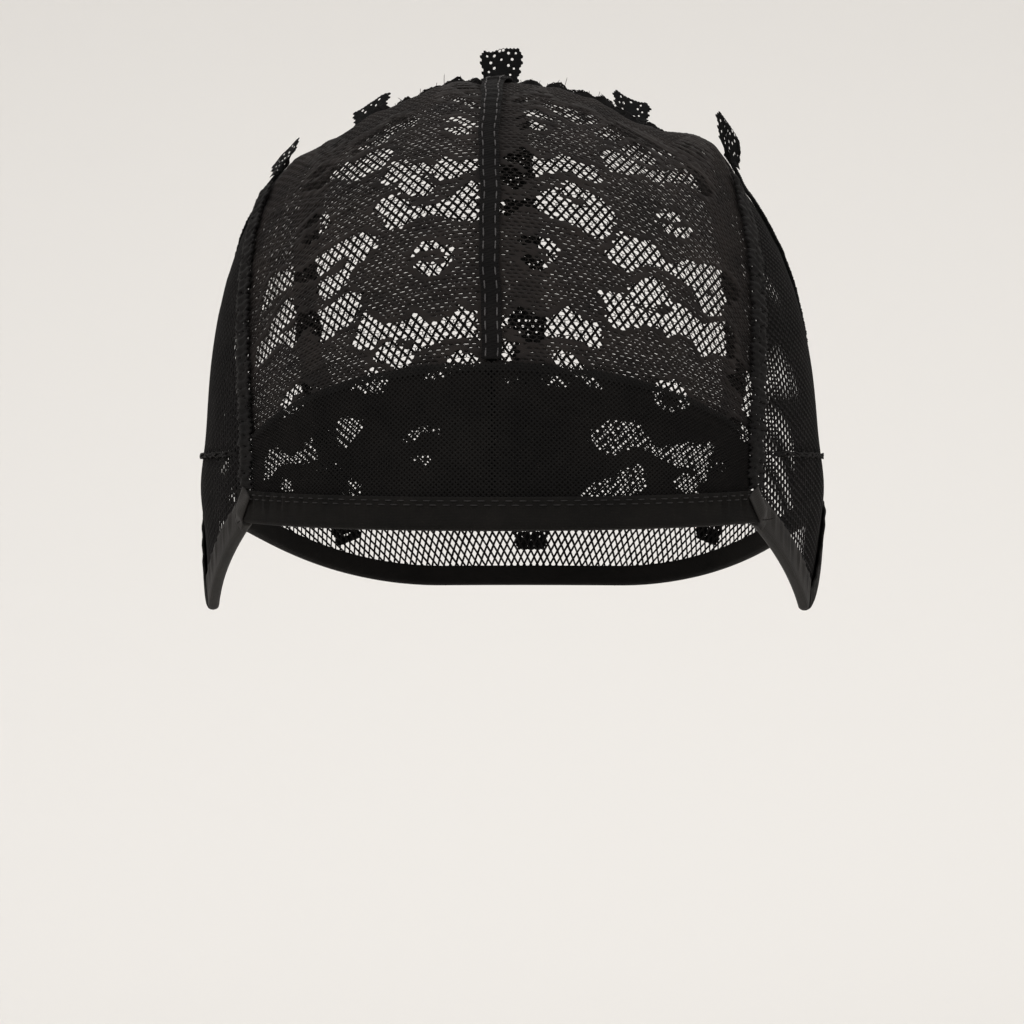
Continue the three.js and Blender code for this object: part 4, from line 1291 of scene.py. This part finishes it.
def frill(name, edge, length, height, waves, base, seed, lean=0.0):
    """Two gathered layers of net that stand on the cloth along an edge, ragged at the top."""
    noise = np.random.default_rng(seed)
    parts, faces, total = [], [], 0
    sway = min(FRILL_WAVE, height / 4)
    columns = round(length / FRILL_CELL_WIDTH)
    rows = round(height / FRILL_CELL_HEIGHT)
    cells = hex_cells(columns, rows)
    for layer in (-1, 1):
        phases = noise.random(5) * FULL_TURN
        ragged = noise.random(columns * 2 + 2)

        def place(x, y, lift):
            along = x / (COLUMN_UNITS * columns)
            rise = np.minimum(y, ROW_UNITS * rows + FRILL_TEETH) / (ROW_UNITS * rows + 1)
            point, sideways = across_curve(edge, along, EDGE_STEP)
            turn = 2 * np.pi * waves * along
            wave = np.sin(turn + phases[0]) + 0.5 * np.sin(2.3 * turn + phases[1])
            wave = wave + 0.3 * np.sin(4.1 * turn + phases[2])
            across = layer * FRILL_LAYER + lift + sway * wave * rise + lean * rise
            rag = np.interp(x, np.arange(len(ragged)), ragged)
            low = 0.15 + 0.85 * smooth(np.minimum(along, 1 - along), 0, FRILL_TAPER)
            crest = low * height * (0.62 + 0.2 * np.cos(0.7 * turn + phases[3]) + 0.1 * rag * rise)
            return seat(point + sideways * across[:, None], base * low + crest * rise)

        holes = FRILL_OPENNESS * (0.4 + 1.2 * noise.random(len(cells)))
        holes[holes < FRILL_LEAST_HOLE] = 0
        points, made = net_mesh(HEX, cells, holes, place, FRILL_DEPTH, FRILL_PAD)
        parts.append(points)
        faces += [np.asarray(f) + total for f in made]
        total += len(points)
    return build(name, np.concatenate(parts), faces, "net", NETTING, node=name)


def crown_edge(along):
    share = lerp(-CROWN_FRILL_END, CROWN_FRILL_END, along)
    return pitched(crown_pitch(share), share * CROWN_SPREAD_ANGLE)


def ear_edge(side):
    first = SIDE_AZIMUTH + degrees_of(SIDE_BAND_WIDTH / 2 + GAP)

    def edge(along):
        return at_level(side * lerp(first, EAR_BACK_TOP_AZIMUTH + 1, along), EAR_SEAM_RISE + 0 * along)

    return edge


# Crocheted strips

CROCHET_CELL = 0.92
CROCHET_DEPTH = 0.62
CROCHET_PAD = 0.22
CROCHET_EDGE = 0.8
RING_RADIUS = 2.5
RING_HOLES = 8
EDGE_RING_RADIUS = 4.15
EDGE_RING_HOLES = 12
LINK_RADIUS = 2.0
LINK_HOLES = 6
STRIP_LIFT = 1.4
STRIP_BEND = 1.6
STRIP_UPRIGHT = 2.5
STRIP_STEPS = 400
STRIP_LEANS = {"outer_left": 1.3, "inner_left": 1.1, "centre": 0.15, "inner_right": 0.9, "outer_right": 0.2}


def strip_path(crown, azimuth):
    top = pitched(crown_pitch(np.array([float(crown)])), crown * CROWN_SPREAD_ANGLE)
    bottom = at_level(azimuth, lower_edge(np.array([float(azimuth)])))
    ends = (np.repeat(end, STRIP_STEPS, 0) for end in (top, bottom))
    line = on_form(between(*ends, np.linspace(0, 1, STRIP_STEPS)))
    run = np.concatenate([[0], np.cumsum(np.linalg.norm(np.diff(line, axis=0), axis=1))])
    return line, run


def crochet_holes(u, v, centre):
    """Rings of holes round the middle of each repeat, and round the places between the repeats."""
    reach, turn = np.hypot(u, v), np.arctan2(v, u)
    link_reach, link_turn = np.hypot(u, np.abs(v) - centre), np.arctan2(np.abs(v) - centre, u)
    openness = np.zeros(len(u))
    openness[(np.abs(reach - RING_RADIUS) < 0.5) & (np.cos(RING_HOLES * turn) > 0.1)] = 0.72
    openness[reach < 0.55] = 0.6
    openness[(np.abs(link_reach - LINK_RADIUS) < 0.42) & (np.cos(LINK_HOLES * link_turn) > 0.2)] = 0.6
    edge_ring = np.abs(reach - EDGE_RING_RADIUS) < 0.42
    openness[edge_ring & (np.cos(EDGE_RING_HOLES * turn) > 0.3)] = 0.55
    return openness


def lace_strip(name, crown, azimuth, height_share):
    line, run = strip_path(crown, azimuth)
    laid = run[-1] - STRIP_SETBACK - BINDING_WIDTH - STRIP_FOOT
    repeat = laid / round(laid / STRIP_REPEAT)
    standing = STRIP_END_HEIGHT * height_share
    columns = round((STRIP_WIDTH + CROCHET_EDGE) / CROCHET_CELL)
    rows = round((laid + standing) / (CROCHET_CELL * ROW_SHARE))
    slopes = np.gradient(line, run, axis=0)

    def measures(x, y):
        u = (x / columns - 1) * (STRIP_WIDTH + CROCHET_EDGE) / 2
        return u, lerp(-standing, laid, y / (ROW_UNITS * rows + 1))

    def place(x, y, lift):
        u, s = measures(x, y)
        at = STRIP_SETBACK + np.maximum(s, 0)
        point, down = (
            np.stack([np.interp(at, run, values[:, k]) for k in range(3)], 1) for values in (line, slopes)
        )
        out = form_normal(point)
        across = unit(np.cross(out, unit(down)))
        down = np.cross(across, out)
        up = np.maximum(-s, 0)
        bend = smooth(up, 0, STRIP_BEND)
        curl = 0.35 * np.sin(u * 0.9 + crown * 5) * smooth(up, 1, 6)
        across = unit(across * np.stack([np.ones(len(u)), 1 - 0.85 * bend, np.ones(len(u))], 1))
        seated = seat(point + across * u[:, None], STRIP_LIFT + lift * (1 - bend))
        steep = unit(np.array([[0, STRIP_LEANS[name], 1.0]]))
        rise = unit(lerp(out, steep, smooth(up, 0, STRIP_UPRIGHT)[:, None]))
        return seated + (down * (lift * bend + curl)[:, None] + rise * up[:, None]) / METRE

    cells = hex_cells(columns, rows)
    u, s = measures(cells[:, 0].astype(float), cells[:, 1].astype(float))
    phase = np.mod(s, repeat)
    half = lerp(STRIP_WAIST, STRIP_WIDTH, np.sin(np.pi * phase / repeat) ** 2) / 2
    kept = np.abs(u) < half
    openness = crochet_holes(u[kept], phase[kept] - repeat / 2, repeat / 2)
    net = HEX, cells[kept], openness, place, CROCHET_DEPTH, CROCHET_PAD
    return net_piece(f"lace_strip_{name}", "crochet", CROCHET, *net)


# Loose threads


def loose_threads(name, roots, reach, seed, radius, material, slot):
    """Short frayed fibres that spring from points on the cap, in metres."""
    noise = np.random.default_rng(seed)
    lines = []
    middle = np.array([0, 0, -CROWN_HEIGHT / METRE])
    for root in roots:
        out = unit(root - middle)
        way = unit(out + 0.9 * (noise.random(3) - 0.5))
        curl = unit(noise.random(3) - 0.5)
        length = reach * (0.35 + 0.65 * noise.random())
        t = np.linspace(0, 1, 8)[:, None]
        lines.append(root + way * t * length + curl * (t**2) * length * 0.45)
    return tubes(name, lines, radius, sides=4, slot=slot, material=material)


lace_left = front_lace(-1, "front_lace_left", SHEER_LEFT)
lace_right = front_lace(1, "front_lace_right", SHEER_RIGHT)
band = forehead_band()
back = cut_net("back_net", back_region, NET_OPENNESS)
ear_tabs = [cut_net(f"ear_tab_{name}", ear_region(side), EAR_TAB_OPENNESS) for side, name in SIDES]
hem = hem_tape()
centre = centre_tape()
allowance = centre_allowance()
seam_stitches = centre_stitches()
hem_seam = hem_stitches()
ear_tapes = [ear_tape(side, name) for side, name in SIDES]
ear_ends = [ear_tape_end(side, name) for side, name in SIDES]
binding = back_binding()
sides = [side_seam(side, name) for side, name in SIDES]
crown_route = crown_edge, CROWN_FRILL_LENGTH, CROWN_FRILL_HEIGHT, CROWN_FRILL_WAVES, NET / 2
crown = frill("crown_seam", *crown_route, CROWN_SEED, CROWN_FRILL_LEAN)
for side, name in SIDES:
    ear_route = ear_edge(side), EAR_FRILL_LENGTH, EAR_FRILL_HEIGHT, EAR_FRILL_WAVES, NET * 0.7
    frill(f"ear_seam_{name}", *ear_route, EAR_SEED + side)
strips = [lace_strip(*strip) for strip in STRIPS]

CROWN_FIBRES = 34
CROWN_FIBRE_LENGTH = 0.0026
CROWN_FIBRE_RADIUS = 0.00007
CROWN_FIBRE_SEED = 5
HEM_FIBRE_PLACES = (-0.99, 0.985, 0.99, 0.995)
HEM_FIBRE_LENGTH = 0.0045
HEM_FIBRE_RADIUS = 0.00011
HEM_FIBRE_SEED = 8

crown_places = crown_edge(np.linspace(0.14, 0.86, CROWN_FIBRES))
crown_roots = seat(crown_places, np.full(CROWN_FIBRES, NET + CROWN_FRILL_HEIGHT * 0.25))
crown_look = CROWN_FIBRE_SEED, CROWN_FIBRE_RADIUS, NETTING, "net"
crown_fibres = loose_threads("crown_fibres", crown_roots, CROWN_FIBRE_LENGTH, *crown_look)

hem_roots = seat(hem_edge(np.array(HEM_FIBRE_PLACES)), np.full(len(HEM_FIBRE_PLACES), OVERLAY + NET))
hem_look = HEM_FIBRE_SEED, HEM_FIBRE_RADIUS, NETTING, "tape"
hem_fibres = loose_threads("hem_fibres", hem_roots, HEM_FIBRE_LENGTH, *hem_look)


# Stage, light and camera

FLOOR_LEVEL = -0.36
FLOOR_REACH = 4.0
WALL_PLACE = 1.5
WALL_TOP = 3.5
COVE = 0.7


def pale_stage():
    """A pale floor that curves up into a wall behind."""
    profile = [(-FLOOR_REACH, FLOOR_LEVEL), (0.0, FLOOR_LEVEL)]
    for a in np.linspace(0, math.pi / 2, 16):
        profile.append((WALL_PLACE - COVE + COVE * math.sin(a), FLOOR_LEVEL + COVE - COVE * math.cos(a)))
    profile.append((WALL_PLACE, WALL_TOP))
    points = np.array([(x, y, z) for y, z in profile for x in (-FLOOR_REACH, FLOOR_REACH)])
    steps = np.arange(len(profile) - 1)[:, None] * 2
    faces = steps + np.array([[0, 1, 3, 2]])
    mesh = bpy.data.meshes.new("pale_stage")
    mesh.from_pydata(points.tolist(), [], faces.tolist())
    mesh.polygons.foreach_set("use_smooth", np.ones(len(mesh.polygons), bool))
    paper = {"Base Color": (0.69, 0.668, 0.64, 1), "Roughness": 0.9}
    mesh.materials.append(plain_material("pale_paper", paper))
    add_object("pale_stage", mesh)


def soft_light(name, place, target, size, power):
    data = bpy.data.lights.new(name, "AREA")
    data.shape = "RECTANGLE"
    data.size, data.size_y = size
    data.energy = power
    made = add_object(name, data)
    made.location = place
    made.rotation_mode = "QUATERNION"
    made.rotation_quaternion = (Vector(target) - Vector(place)).to_track_quat("-Z", "Y")


pale_stage()
soft_light("key_light", (-0.7, -1.3, 0.9), (0, 0, -0.05), (1.2, 1.0), 15)
soft_light("fill_light", (1.2, -1.2, 0.3), (0, 0, -0.06), (1.2, 1.2), 8)
soft_light("top_light", (0, 0.1, 1.6), (0, 0.05, 0), (1.8, 1.4), 7)
soft_light("floor_light", (0, 0.75, 0.45), (0, 0.95, FLOOR_LEVEL), (2.4, 0.3), 6.5)

world = bpy.data.worlds.new("pale_room")
bpy.context.scene.world = world
world.use_nodes = True
sky = {"Color": (1, 0.99, 0.975, 1), "Strength": 0.42}
feed(world.node_tree, world.node_tree.nodes["Background"], sky)
bpy.context.scene.view_settings.view_transform = "Standard"

camera_data = bpy.data.cameras.new("camera")
camera_data.lens = CAMERA_LENS
camera_data.sensor_width = SENSOR
camera_data.clip_start = 0.05
camera_data.clip_end = 50
camera = add_object("camera", camera_data)
back_way = Vector((math.sin(CAMERA_TURN), -math.cos(CAMERA_TURN), 0))
camera.location = CAMERA_AIM + back_way * CAMERA_DISTANCE
camera.rotation_mode = "QUATERNION"
camera.rotation_quaternion = (-back_way).to_track_quat("-Z", "Y")
bpy.context.scene.camera = camera
